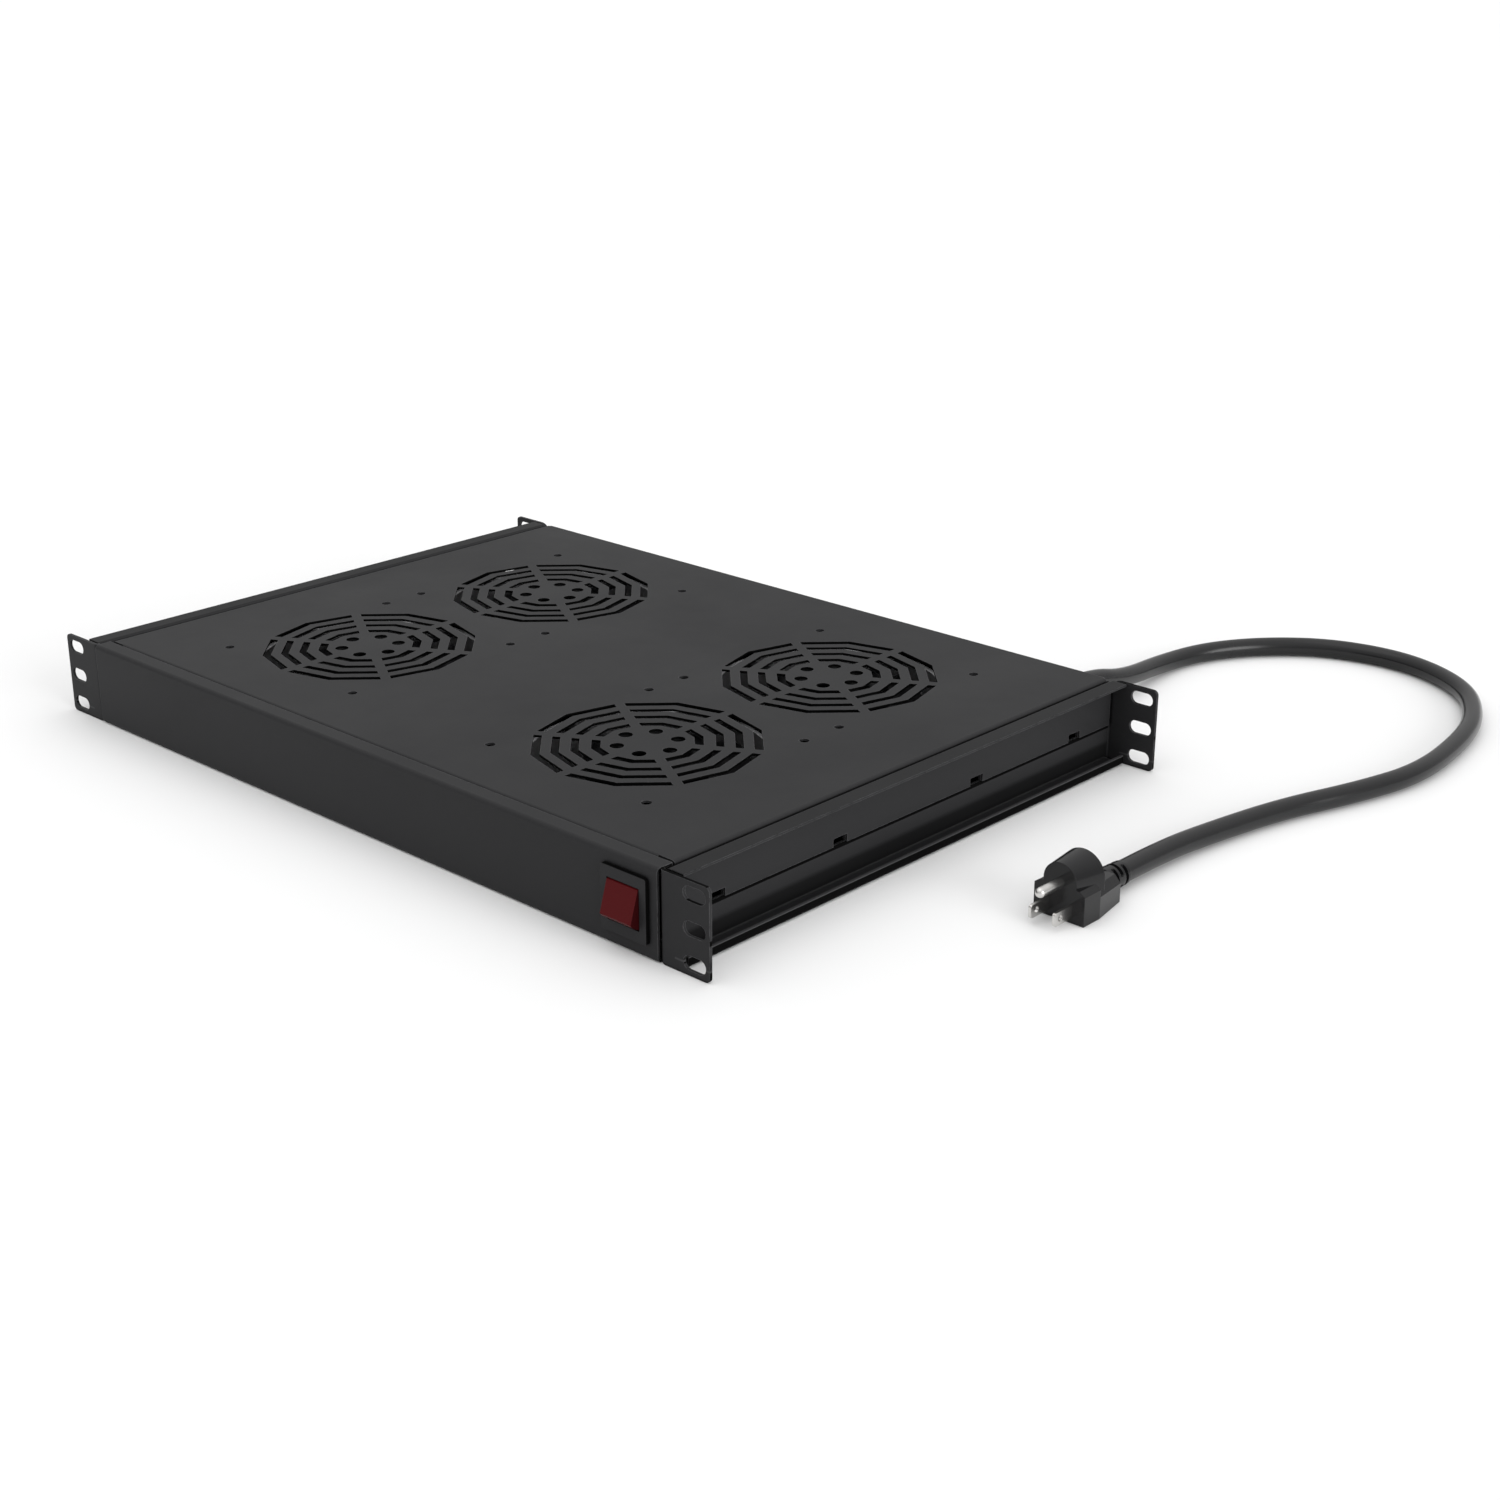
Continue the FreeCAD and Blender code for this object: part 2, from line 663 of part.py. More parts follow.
def make_stator():
    """Laminated stator on the bearing tube, with open winding slots."""
    top = fan_top - motor_plate - running_gap
    bottom = top - stator_height
    stator = disc(0, 0, stator_radius, bottom, top)
    cutters = [disc(0, 0, bearing_tube_radius + press_clearance, bottom - 1, top + 1)]
    for k in range(stator_slots):
        slot = block(stator_radius / 2, stator_radius + 1, -stator_slot_width / 2,
                     stator_slot_width / 2, bottom - 1, top + 1)
        slot.rotate(Vector(0, 0, 0), Vector(0, 0, 1), 360 * (k + 0.5) / stator_slots)
        cutters.append(slot)
    return stator.cut(cutters)


def make_shaft():
    """Steel shaft from the hub's boss through the bearing."""
    return disc(0, 0, shaft_radius, floor_top + rotor_inset + shaft_socket,
                fan_top - motor_plate - running_gap / 2)


def blade_section(radius, pitch, chord):
    """Cambered blade section at a radius: two parallel arcs closed by straight edges."""
    lean = math.radians(pitch)
    middle_z = (floor_top + rotor_inset + hub_top) / 2
    outline = []
    for rise in (0, blade_sheet):
        for along, lift in ((-chord / 2, 0), (0, blade_camber), (chord / 2, 0)):
            height = lift + rise - blade_camber / 2
            outline.append(Vector(radius, along * math.cos(lean) - height * math.sin(lean),
                                  middle_z + along * math.sin(lean) + height * math.cos(lean)))
    under = Part.Arc(*outline[:3]).toShape()
    over = Part.Arc(*outline[3:]).toShape()
    front = Part.LineSegment(outline[2], outline[5]).toShape()
    back = Part.LineSegment(outline[3], outline[0]).toShape()
    return Part.Wire([under, front, over, back])


def make_rotor():
    """External-rotor hub with twisted, cambered blades."""
    bottom = floor_top + rotor_inset
    hub = disc(0, 0, hub_radius, bottom, hub_top)
    hub = hub.cut(disc(0, 0, hub_radius - hub_wall, bottom + hub_floor, hub_top + 1))
    hub = joined(hub, disc(0, 0, hub_boss_radius, bottom, boss_top))
    sections = [blade_section(hub_radius - hub_wall, blade_root_pitch, blade_root_chord),
                blade_section(rotor_tip + blade_overrun, blade_tip_pitch, blade_tip_chord)]
    blade = Part.makeLoft(sections, True, True)
    ring = disc(0, 0, rotor_tip, bottom + blade_margin, hub_top - blade_margin)
    ring = ring.cut(disc(0, 0, hub_radius - hub_wall / 2, bottom, hub_top))
    blade = blade.common(ring)
    blades = []
    for k in range(blade_count):
        piece = blade.copy()
        piece.rotate(Vector(0, 0, 0), Vector(0, 0, 1), 360 * k / blade_count)
        blades.append(piece)
    rotor = joined(hub, *blades)
    return rotor.cut(disc(0, 0, shaft_radius + press_clearance, bottom + shaft_socket,
                          hub_top))


def make_fan_screws():
    """Long screws down through each fan's corners into the tray's floor."""
    screws = []
    for centre_x, centre_y in fan_centres:
        for x, y in fan_corners(centre_x, centre_y):
            shank = disc(x, y, fan_screw_radius, fan_screw_end, fan_top)
            head = disc(x, y, fan_screw_head_radius, fan_top, fan_top + fan_screw_head)
            screws.append(shank.fuse(head).removeSplitter())
    return Part.makeCompound(screws)


def make_lid_screws():
    """Screws through the lid's rear fold into the tray's rear wall."""
    screws = []
    for x in lid_screw_places:
        z = rack_height - lid_screw_drop
        shank = rod(x, z, lid_screw_radius, rear_y - lid_screw_length, rear_y)
        head = rod(x, z, lid_screw_head_radius, rear_y, rear_y + lid_screw_head)
        screws.append(shank.fuse(head).removeSplitter())
    return Part.makeCompound(screws)


# --- rocker switch ----------------------------------------------------------------------------
def switch_box(width, height, y0, y1, corner):
    """Rounded box centred on the switch."""
    outline = rectangle(switch_x - width / 2, switch_x + width / 2,
                        switch_z - height / 2, switch_z + height / 2)
    return prism(outline, corner, on_xz, y0, y1)


def make_switch_body():
    """Bezel and moulded body with a well for the rocker."""
    back = front_y + switch_body_depth
    body = joined(switch_box(bezel_width, bezel_height, bezel_face_y, front_y, bezel_corner),
                  switch_box(switch_body_width, switch_body_height, front_y, back,
                             switch_body_corner))
    well_back = pivot_y + rocker_radius + 2 * rocker_gap
    well = switch_box(rocker_width + 2 * rocker_gap, 2 * (rocker_radius + rocker_gap),
                      bezel_face_y - 1, well_back, well_corner)
    pin = rocker_width / 2 + rocker_pin_length + rocker_gap
    pin_hole = Part.makeCylinder(rocker_pin_radius + shaft_clearance, 2 * pin,
                                 Vector(switch_x - pin, pivot_y, switch_z), Vector(1, 0, 0))
    return body.cut([well, pin_hole])


def make_rocker():
    """Flat-faced rocker whose ends are arcs about its pivot, at rest with its top pressed."""
    face = pivot_y - rocker_face_offset
    back = pivot_y + rocker_back
    back_half = math.sqrt(rocker_radius ** 2 - rocker_back ** 2)
    upper = [Vector(0, face, rocker_half_height), Vector(0, pivot_y, rocker_radius),
             Vector(0, back, back_half)]
    lower = [Vector(0, p.y, -p.z) for p in reversed(upper)]
    edges = [Part.Arc(*upper).toShape(), Part.LineSegment(upper[2], lower[0]).toShape(),
             Part.Arc(*lower).toShape(), Part.LineSegment(lower[2], upper[0]).toShape()]
    rocker = Part.Face(Part.Wire(edges)).extrude(Vector(rocker_width, 0, 0))
    rocker.translate(Vector(switch_x - rocker_width / 2, 0, switch_z))
    pin = rocker_width / 2 + rocker_pin_length
    rocker = rocker.fuse(Part.makeCylinder(rocker_pin_radius, 2 * pin,
                                           Vector(switch_x - pin, pivot_y, switch_z),
                                           Vector(1, 0, 0))).removeSplitter()
    rocker.rotate(Vector(switch_x, pivot_y, switch_z), Vector(1, 0, 0), -rocker_tilt)
    return rocker


def make_switch_terminals():
    """Four flat tabs out of the back of the switch."""
    back = front_y + switch_body_depth
    tabs = []
    for i in (-1, 1):
        for k in (-1, 1):
            x = switch_x + i * terminal_spread / 2
            z = switch_z + k * terminal_spread / 2
            tabs.append(block(x - terminal_thickness / 2, x + terminal_thickness / 2,
                              back, back + terminal_length,
                              z - terminal_width / 2, z + terminal_width / 2))
    return Part.makeCompound(tabs)


# --- mains entry and wiring -------------------------------------------------------------------
def cord_bore(y0, y1):
    """The hole that the cord's sheath fills."""
    return rod(gland_x, gland_z, cord_radius + bore_clearance, y0, y1)


def make_gland_body():
    """Hexagonal flange outside and a threaded sleeve through the rear wall."""
    inner_end = gland_flange_y - sheet - locknut_height - gland_thread_reach
    body = joined(hexagon(gland_hex, gland_x, gland_z, gland_flange_y,
                          gland_flange_y + gland_hex_height),
                  rod(gland_x, gland_z, gland_thread_radius, inner_end, gland_flange_y))
    return body.cut(cord_bore(inner_end - 1, gland_mouth_y))


def make_gland_cap():
    """Domed cap that grips the cord."""
    start = gland_flange_y + gland_hex_height
    shoulder = start + gland_cap_base
    cap = joined(hexagon(gland_cap_hex, gland_x, gland_z, start, shoulder),
                 Part.makeCone(gland_cap_hex / 2 - gland_cap_step, gland_cap_end_radius,
                               gland_mouth_y - shoulder,
                               Vector(gland_x, shoulder, gland_z), Vector(0, 1, 0)))
    return cap.cut(cord_bore(start - 1, gland_mouth_y + 1))


def make_gland_locknut():
    """Nut inside the rear wall."""
    outer = gland_flange_y - sheet
    nut = hexagon(gland_hex, gland_x, gland_z, outer - locknut_height, outer)
    return nut.cut(rod(gland_x, gland_z, gland_thread_radius + thread_clearance,
                       outer - locknut_height - 1, outer + 1))


def pole_places():
    """Middles of the terminal block's wells."""
    step = block_width / block_poles
    return [(block_x0 + (k + 0.5) * step, (block_front_y + block_back_y) / 2)
            for k in range(block_poles)]


def make_terminal_block():
    """Moulded terminal block on two feet, with a row of screw wells."""
    body = block(block_x0, block_x1, block_front_y, block_back_y, block_base, block_top)
    feet = [block(x, x + block_foot, block_front_y, block_back_y, floor_top, block_base)
            for x in (block_x0, block_x1 - block_foot)]
    body = joined(body, *feet)
    return body.cut([disc(x, y, block_pole_radius, block_top - block_pole_depth, block_top + 1)
                     for x, y in pole_places()])


def make_terminal_screws():
    """The clamp screws in the block's wells."""
    return Part.makeCompound([disc(x, y, block_pole_radius - block_screw_clearance,
                                   block_top - block_pole_depth, block_top - block_screw_sink)
                              for x, y in pole_places()])


def make_cord_tail():
    """Sheathed end of the cord from the gland's mouth to the terminal block."""
    return rod(gland_x, gland_z, cord_radius, block_back_y, gland_mouth_y)


def make_wiring():
    """Sheathed lead to the switch along the right-hand side, and a lead to each fan.

    Every lead leaves the terminal block and ends on its piece square to the face that it
    meets. Between them, the leads share the lane beside the fans and the aisle between them.
    """
    lane = (fan_side + half_width - sheet) / 2
    start_y = block_front_y
    middle = (front_row + rear_row) / 2
    switch_back = front_y + switch_body_depth + terminal_length
    z = block_base + lead_diameter
    lead_x = block_x1 - lead_diameter
    leads = [tube([(lead_x, start_y, z), (lead_x, start_y - lead_run, z),
                   (lane - lead_diameter / 2, rear_row - lead_run / 2, z - lead_diameter / 2),
                   (lane, middle, z - lead_diameter / 2),
                   (switch_x, front_row + lead_diameter, z),
                   (switch_x, switch_back + lead_run, switch_z),
                   (switch_x, switch_back, switch_z)], lead_diameter, "switch lead")]
    low = floor_top + fan_flange + fan_lead_diameter
    high = low + 2 * lead_diameter
    near_x = gland_x + fan_lead_diameter
    far_x = near_x + fan_lead_spacing
    leads.append(tube([(near_x, start_y, low), (near_x, start_y - fan_lead_run, low),
                       (lane - fan_lead_diameter, rear_row + lead_run / 2, low),
                       (lane - fan_lead_diameter, rear_row - lead_diameter, low),
                       (fan_side, rear_row - lead_diameter, low)], fan_lead_diameter,
                      "rear right lead"))
    leads.append(tube([(far_x, start_y, high), (far_x, start_y - fan_lead_run, high),
                       (lane + lead_diameter, rear_row, high),
                       (lane + fan_lead_diameter, front_row + 2 * fan_lead_run, low),
                       (lane + fan_lead_diameter, front_row, low),
                       (fan_side, front_row, low)], fan_lead_diameter, "front right lead"))
    aisle = (block_front_y + block_back_y) / 2
    for row_y, turn_x, shift, name in (
            (rear_row, aisle_lane - lane_spacing / 2 - aisle_side, 1, "rear left lead"),
            (front_row, aisle_lane + lane_spacing / 2 - aisle_side, -1, "front left lead")):
        y = aisle + shift * aisle_stagger
        leads.append(tube([(block_x0, y, low), (block_x0 - 2 * fan_lead_run, y, low),
                           (aisle_side + fan_lead_run, y + aisle_drift,
                            low - fan_lead_diameter / 2),
                           (turn_x, y, low), (turn_x, row_y, low), (-aisle_side, row_y, low)],
                          fan_lead_diameter, name))
    return Part.makeCompound(leads)


def make_cord():
    """Free cord: out of the gland, down to the surface, round a wide loop and into the plug."""
    z = cord_radius + floor_gap
    relief_y = plug_y + plug_length + relief_length
    route = [(gland_x, gland_mouth_y, gland_z), (gland_x, 214.0, gland_z),
             (166.0, 246.5, 11.0), (158.0, 297.5, z), (165.0, 334.0, z), (186.0, 366.5, z),
             (218.0, 390.5, z), (263.0, 396.0, z), (306.5, 374.5, z), (330.5, 336.5, z),
             (341.5, 298.5, z), (347.5, 244.0, z), (337.5, 200.5, z), (321.5, 155.5, z),
             (312.5, 107.5, z + 0.3), (plug_x, 71.0, plug_cord_z),
             (plug_x, relief_y, plug_cord_z)]
    return tube(route, cord_diameter, "power cord")


def plug_arch(half, top, y):
    """Upright section of the plug: straight sides under a round top."""
    spring = top - half
    low = plug_floor
    left, right = plug_x - half, plug_x + half
    return Part.Wire([Part.LineSegment(Vector(left, y, low), Vector(right, y, low)).toShape(),
                      Part.LineSegment(Vector(right, y, low), Vector(right, y, spring)).toShape(),
                      Part.Arc(Vector(right, y, spring), Vector(plug_x, y, top),
                               Vector(left, y, spring)).toShape(),
                      Part.LineSegment(Vector(left, y, spring), Vector(left, y, low)).toShape()])


def plug_section(half, height, bevel, y):
    """Section of the plug's lower part, with bevelled upper corners."""
    low = plug_floor
    top = low + height
    points = [(-half, low), (half, low), (half, top - bevel), (half - bevel, top),
              (-half + bevel, top), (-half, top - bevel)]
    return rounded_wire([(plug_x + a, b) for a, b in points], [0] * len(points), on_xz, y)


def make_plug_body():
    """Moulded plug: square lower block, domed top and a neck that narrows to the cord."""
    half = plug_width / 2
    face = plug_y
    shoulder = plug_floor + plug_block_height
    ridge = shoulder + plug_shoulder_rise
    outline = [(-half, plug_floor), (half, plug_floor), (half, shoulder),
               (half - plug_shoulder, ridge), (-half + plug_shoulder, ridge),
               (-half, shoulder)]
    lower = prism([(plug_x + a, b) for a, b in outline], 0, on_xz,
                  face, face + plug_block_depth)
    dome = Part.makeLoft([plug_arch(plug_face_radius, plug_floor + plug_face_height, face),
                          plug_arch(plug_dome_radius, plug_floor + plug_height,
                                    face + plug_dome_depth)], True, True)
    neck = Part.makeLoft([plug_section(half, plug_block_height, plug_neck_bevel,
                                       face + plug_block_depth),
                          plug_section(plug_neck_width / 2, plug_neck_height,
                                       plug_neck_bevel, face + plug_length)], True, True)
    plug = joined(lower, dome, neck)
    envelope = block(plug_x - half, plug_x + half, face, face + plug_length,
                     plug_floor, plug_floor + plug_height)
    return plug.cut([contact.common(envelope) for contact in plug_contacts()])


def make_plug_relief():
    """Ribbed strain relief between the plug's neck and the cord."""
    start = plug_y + plug_length
    relief = rod(plug_x, plug_cord_z, relief_radius, start, start + relief_length)
    pitch = relief_length / (relief_grooves + 1)
    for k in range(relief_grooves):
        y = start + (k + 1) * pitch
        ring = rod(plug_x, plug_cord_z, relief_radius + 1, y - relief_groove / 2,
                   y + relief_groove / 2)
        ring = ring.cut(rod(plug_x, plug_cord_z, relief_radius - relief_groove_depth,
                            y - relief_groove, y + relief_groove))
        relief = relief.cut(ring)
    return relief


def plug_contacts():
    """The two flat blades and the round earth pin."""
    root = plug_y + contact_inset
    contacts = []
    for side in (-1, 1):
        x = plug_x + side * blade_spacing / 2
        outline = [(plug_y - blade_length, blade_z - blade_height / 2),
                   (root, blade_z - blade_height / 2), (root, blade_z + blade_height / 2),
                   (plug_y - blade_length, blade_z + blade_height / 2)]
        blade = prism(outline, [blade_corner, 0, 0, blade_corner], on_yz, x - blade_metal / 2,
                      x + blade_metal / 2)
        hole = Part.makeCylinder(blade_hole_radius, 2 * blade_metal,
                                 Vector(x - blade_metal, plug_y - blade_length
                                        + blade_hole_inset, blade_z), Vector(1, 0, 0))
        contacts.append(blade.cut(hole))
    earth_z = blade_z + earth_offset
    tip = plug_y - earth_length
    pin = rod(plug_x, earth_z, earth_radius, tip + earth_radius, root)
    nose = Part.makeSphere(earth_radius, Vector(plug_x, tip + earth_radius, earth_z))
    contacts.append(joined(pin, nose))
    return contacts


# --- export -----------------------------------------------------------------------------------
nodes = {
    "tray": make_tray(),
    "lid": make_lid(),
    "bracket_right": make_bracket(),
    "rail_right": make_rail(),
    "fan_screws": make_fan_screws(),
    "lid_screws": make_lid_screws(),
    "switch_body": make_switch_body(),
    "switch_rocker": make_rocker(),
    "switch_terminals": make_switch_terminals(),
    "gland_body": make_gland_body(),
    "gland_cap": make_gland_cap(),
    "gland_locknut": make_gland_locknut(),
    "terminal_block": make_terminal_block(),
    "terminal_screws": make_terminal_screws(),
    "cord_tail": make_cord_tail(),
    "wiring": make_wiring(),
    "power_cord": make_cord(),
    "plug_body": make_plug_body(),
    "plug_relief": make_plug_relief(),
}
nodes["bracket_left"] = mirrored(nodes["bracket_right"])
nodes["rail_left"] = mirrored(nodes["rail_right"])
blades_and_pin = plug_contacts()
nodes["plug_blades"] = Part.makeCompound(blades_and_pin[:2])
nodes["plug_earth_pin"] = blades_and_pin[2]

fan_pieces = {
    "fan_housing": make_fan_housing(),
    "fan_bearing": make_bearing(),
    "fan_stator": make_stator(),
    "fan_shaft": make_shaft(),
    "fan_rotor": make_rotor(),
}
for (x, y), place in zip(fan_centres, fan_names):
    for piece, shape in fan_pieces.items():
        nodes[piece + "_" + place] = shape.translated(Vector(x, y, 0))

for name, shape in nodes.items():
    shape.exportStep("parts/" + name + ".step")
    print(name, len(shape.Solids), round(shape.Volume, 1), shape.isValid())
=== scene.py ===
# %% [markdown]
# # Rack fan tray
# This lesson dresses a one-unit fan tray: a black powder-coated sheet-metal box with four
# punched grilles, slotted ears, a red rocker switch and a mains cord with a moulded plug.
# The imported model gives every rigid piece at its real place, in metres. Here each one gets its
# finish, and the few pieces that solids can't show well are worked out as surfaces with numpy.
# The Standard view shows colours as they are set, so a black stays as deep as its number says.

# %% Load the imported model
import json
import math

import bpy
import numpy as np
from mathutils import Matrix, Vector


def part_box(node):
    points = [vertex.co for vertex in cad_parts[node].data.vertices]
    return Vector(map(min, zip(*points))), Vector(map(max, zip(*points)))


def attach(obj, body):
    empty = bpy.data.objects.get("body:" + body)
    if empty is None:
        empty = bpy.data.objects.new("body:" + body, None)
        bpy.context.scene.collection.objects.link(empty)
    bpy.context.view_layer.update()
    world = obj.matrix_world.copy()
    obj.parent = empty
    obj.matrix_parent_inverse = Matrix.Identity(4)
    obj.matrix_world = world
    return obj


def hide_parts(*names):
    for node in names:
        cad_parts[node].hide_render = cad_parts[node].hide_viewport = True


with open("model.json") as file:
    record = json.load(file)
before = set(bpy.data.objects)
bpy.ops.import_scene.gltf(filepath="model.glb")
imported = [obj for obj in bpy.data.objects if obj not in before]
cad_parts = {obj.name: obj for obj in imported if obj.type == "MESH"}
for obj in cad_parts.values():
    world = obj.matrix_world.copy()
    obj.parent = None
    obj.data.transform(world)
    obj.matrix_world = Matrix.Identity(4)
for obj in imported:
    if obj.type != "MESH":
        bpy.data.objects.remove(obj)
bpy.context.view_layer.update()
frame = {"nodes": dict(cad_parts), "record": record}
MM = 0.001
nodes = frame["nodes"]
scene = bpy.context.scene
scene.view_settings.view_transform = "Standard"

# %% [markdown]
# ## The camera
# The camera stands to the right of the front corner and looks down at the lid. Its distance of
# over a metre and a lens of 55 mm keep the perspective mild. Aiming at a point on the lid is
# easier to read than three angles.

# %% Camera
EYE = Vector((833.4, -768.2, 433.9)) * MM
AIM = Vector((147.2, -34.7, 43.6)) * MM
LENS = 55.116
SENSOR_WIDTH = 36.0
NEAREST = 0.05

camera_data = bpy.data.cameras.new("camera")
camera_data.lens = LENS
camera_data.sensor_width = SENSOR_WIDTH
camera_data.clip_start = NEAREST
camera = bpy.data.objects.new("camera", camera_data)
scene.collection.objects.link(camera)
camera.location = EYE
camera.rotation_euler = (AIM - EYE).to_track_quat("-Z", "Y").to_euler()
scene.camera = camera
print("camera", round((AIM - EYE).length, 3), "m from the lid")

# %% [markdown]
# ## Turned surfaces
# The strain relief and the screws are turned shapes: a profile of radius against height, carried
# round an axis. A modelling tool would spin a curve. Here the whole surface is one array of
# rings instead, because a formula can then change the radius all round, for slots and recesses.

# %% Ring surface
SHARP_ANGLE = math.radians(32)


def ring_surface(name, rings, start, end):
    """Closed mesh through rings of points, with a pole at each end.

    rings has the shape (copies, rings, points round, 3), start and end (copies, 3). Faces join
    each point to the next one round and to the same ones on the next ring.
    """
    copies, count, around = rings.shape[:3]
    points = np.concatenate([rings.reshape(copies, -1, 3), start[:, None], end[:, None]],
                            axis=1)
    here = np.arange(around)
    beside = np.roll(here, -1)
    rows = np.arange(count - 1)[:, None] * around
    next_rows = rows + around
    quads = np.stack([rows + here, rows + beside, next_rows + beside, next_rows + here],
                     axis=-1).reshape(-1, 4)
    last = (count - 1) * around
    start_pole, end_pole = np.full(around, count * around), np.full(around, count * around + 1)
    first_cap = np.stack([beside, here, start_pole], axis=-1)
    last_cap = np.stack([last + here, last + beside, end_pole], axis=-1)
    shift = (np.arange(copies) * points.shape[1])[:, None, None]
    faces = [face for block in (quads, first_cap, last_cap)
             for face in (block[None] + shift).reshape(-1, block.shape[1]).tolist()]
    mesh = bpy.data.meshes.new(name)
    mesh.from_pydata(points.reshape(-1, 3).tolist(), [], faces)
    mesh.shade_smooth()
    mesh.set_sharp_from_angle(angle=SHARP_ANGLE)
    piece = bpy.data.objects.new(name, mesh)
    scene.collection.objects.link(piece)
    print(name, len(faces), "faces")
    return piece


def turned(radius, height, centre, along, across, up):
    """Points of a turned surface: centre + radius (cos a across + sin a up) + height along.

    radius has the shape (rings, points round), height the same or one value to each ring, and
    centre (copies, 3).
    """
    height = np.broadcast_to(height.reshape(len(height), -1), radius.shape)
    angle = np.linspace(0, 2 * np.pi, radius.shape[1], endpoint=False)[:, None]
    flat = np.cos(angle) * np.array(across) + np.sin(angle) * np.array(up)
    shape = radius[..., None] * flat + height[..., None] * np.array(along)
    return centre[:, None, None, :] + shape[None]


def bump_of(value, width, softness):
    """1 where |value| is under half the width, 0 beyond it, with a soft step between."""
    return np.clip((width / 2 - np.abs(value)) / softness + 0.5, 0, 1)


print("surfaces are sharp over", round(math.degrees(SHARP_ANGLE)), "degrees")

# %% [markdown]
# ## The power cord
# A mains cord is a fixed length of stiff PVC: it leaves the gland level, bends down under its
# own weight and then lies on the surface in one wide loop. Its route is the control points of a
# NURBS spline of order 3, which pull it towards them like magnets, so it bends as smoothly as a
# real sheath and never overshoots. The tube is worked out round points read from that spline.

# %% Cord sheath
CORD_DIAMETER = 10.6 * MM
CORD_STEPS = 12
CORD_SIDES = 36
CORD_ROUTE = MM * np.array([
    (166.0, 183.3, 20.0), (166.0, 214.0, 20.0), (166.0, 246.5, 11.0), (158.0, 297.5, 5.4),
    (165.0, 334.0, 5.4), (186.0, 366.5, 5.4), (218.0, 390.5, 5.4), (263.0, 396.0, 5.4),
    (306.5, 374.5, 5.4), (330.5, 336.5, 5.4), (341.5, 298.5, 5.4), (347.5, 244.0, 5.4),
    (337.5, 200.5, 5.4), (321.5, 155.5, 5.4), (312.5, 107.5, 5.7), (308.9, 71.0, 6.7),
    (308.9, 38.2, 6.7),
])


def route_line(route, steps):
    """Points read from a NURBS spline of order 3 that has the route as its control points."""
    data = bpy.data.curves.new("cord_route", "CURVE")
    data.dimensions = "3D"
    spline = data.splines.new("NURBS")
    spline.points.add(len(route) - 1)
    weighted = np.pad(route, ((0, 0), (0, 1)), constant_values=1.0)
    spline.points.foreach_set("co", weighted.ravel())
    spline.order_u = 3
    spline.use_endpoint_u = True
    spline.resolution_u = steps
    guide = bpy.data.objects.new("cord_route", data)
    mesh = bpy.data.meshes.new_from_object(guide)
    points = np.empty(3 * len(mesh.vertices))
    mesh.vertices.foreach_get("co", points)
    bpy.data.objects.remove(guide)
    bpy.data.curves.remove(data)
    bpy.data.meshes.remove(mesh)
    return points.reshape(-1, 3)


def sheath(name, line, radius, around):
    """Round tube: line + radius (cos a up + sin a side), square to the line's own direction."""
    way = np.gradient(line, axis=0)
    way /= np.linalg.norm(way, axis=1)[:, None]
    side = np.cross(way, (0, 0, 1))
    side /= np.linalg.norm(side, axis=1)[:, None]
    up = np.cross(side, way)
    angle = np.linspace(0, 2 * np.pi, around, endpoint=False)[None, :, None]
    round_line = np.cos(angle) * up[:, None] + np.sin(angle) * side[:, None]
    rings = (line[:, None] + radius * round_line)[None]
    return ring_surface(name, rings, line[:1], line[-1:])


cord_line = route_line(CORD_ROUTE, CORD_STEPS)
cord = sheath("cord_sheath", cord_line, CORD_DIAMETER / 2, CORD_SIDES)
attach(cord, "casing")
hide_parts("power_cord")
print("cord", round(float(np.linalg.norm(np.diff(cord_line, axis=0), axis=1).sum()), 4), "m")

# %% [markdown]
# ## The strain relief
# A moulded relief bends because slots are cut half-way round it, each row turned from the last.
# The slots leave two bridges, and the bridges of one row lie where the next row is open.

# %% Strain relief
SLOT_WIDTH = 1.9 * MM
SLOT_DEPTH = 2.1 * MM
SLOT_ROWS = 3
SLOT_SOFTNESS = 0.25 * MM
BRIDGE = math.radians(50)
BRIDGE_SOFTNESS = 0.2
RELIEF_TAPER = 0.10
END_ROUNDING = 0.8 * MM
END_SHARE = 0.86
RELIEF_RINGS, RELIEF_SIDES = 121, 96


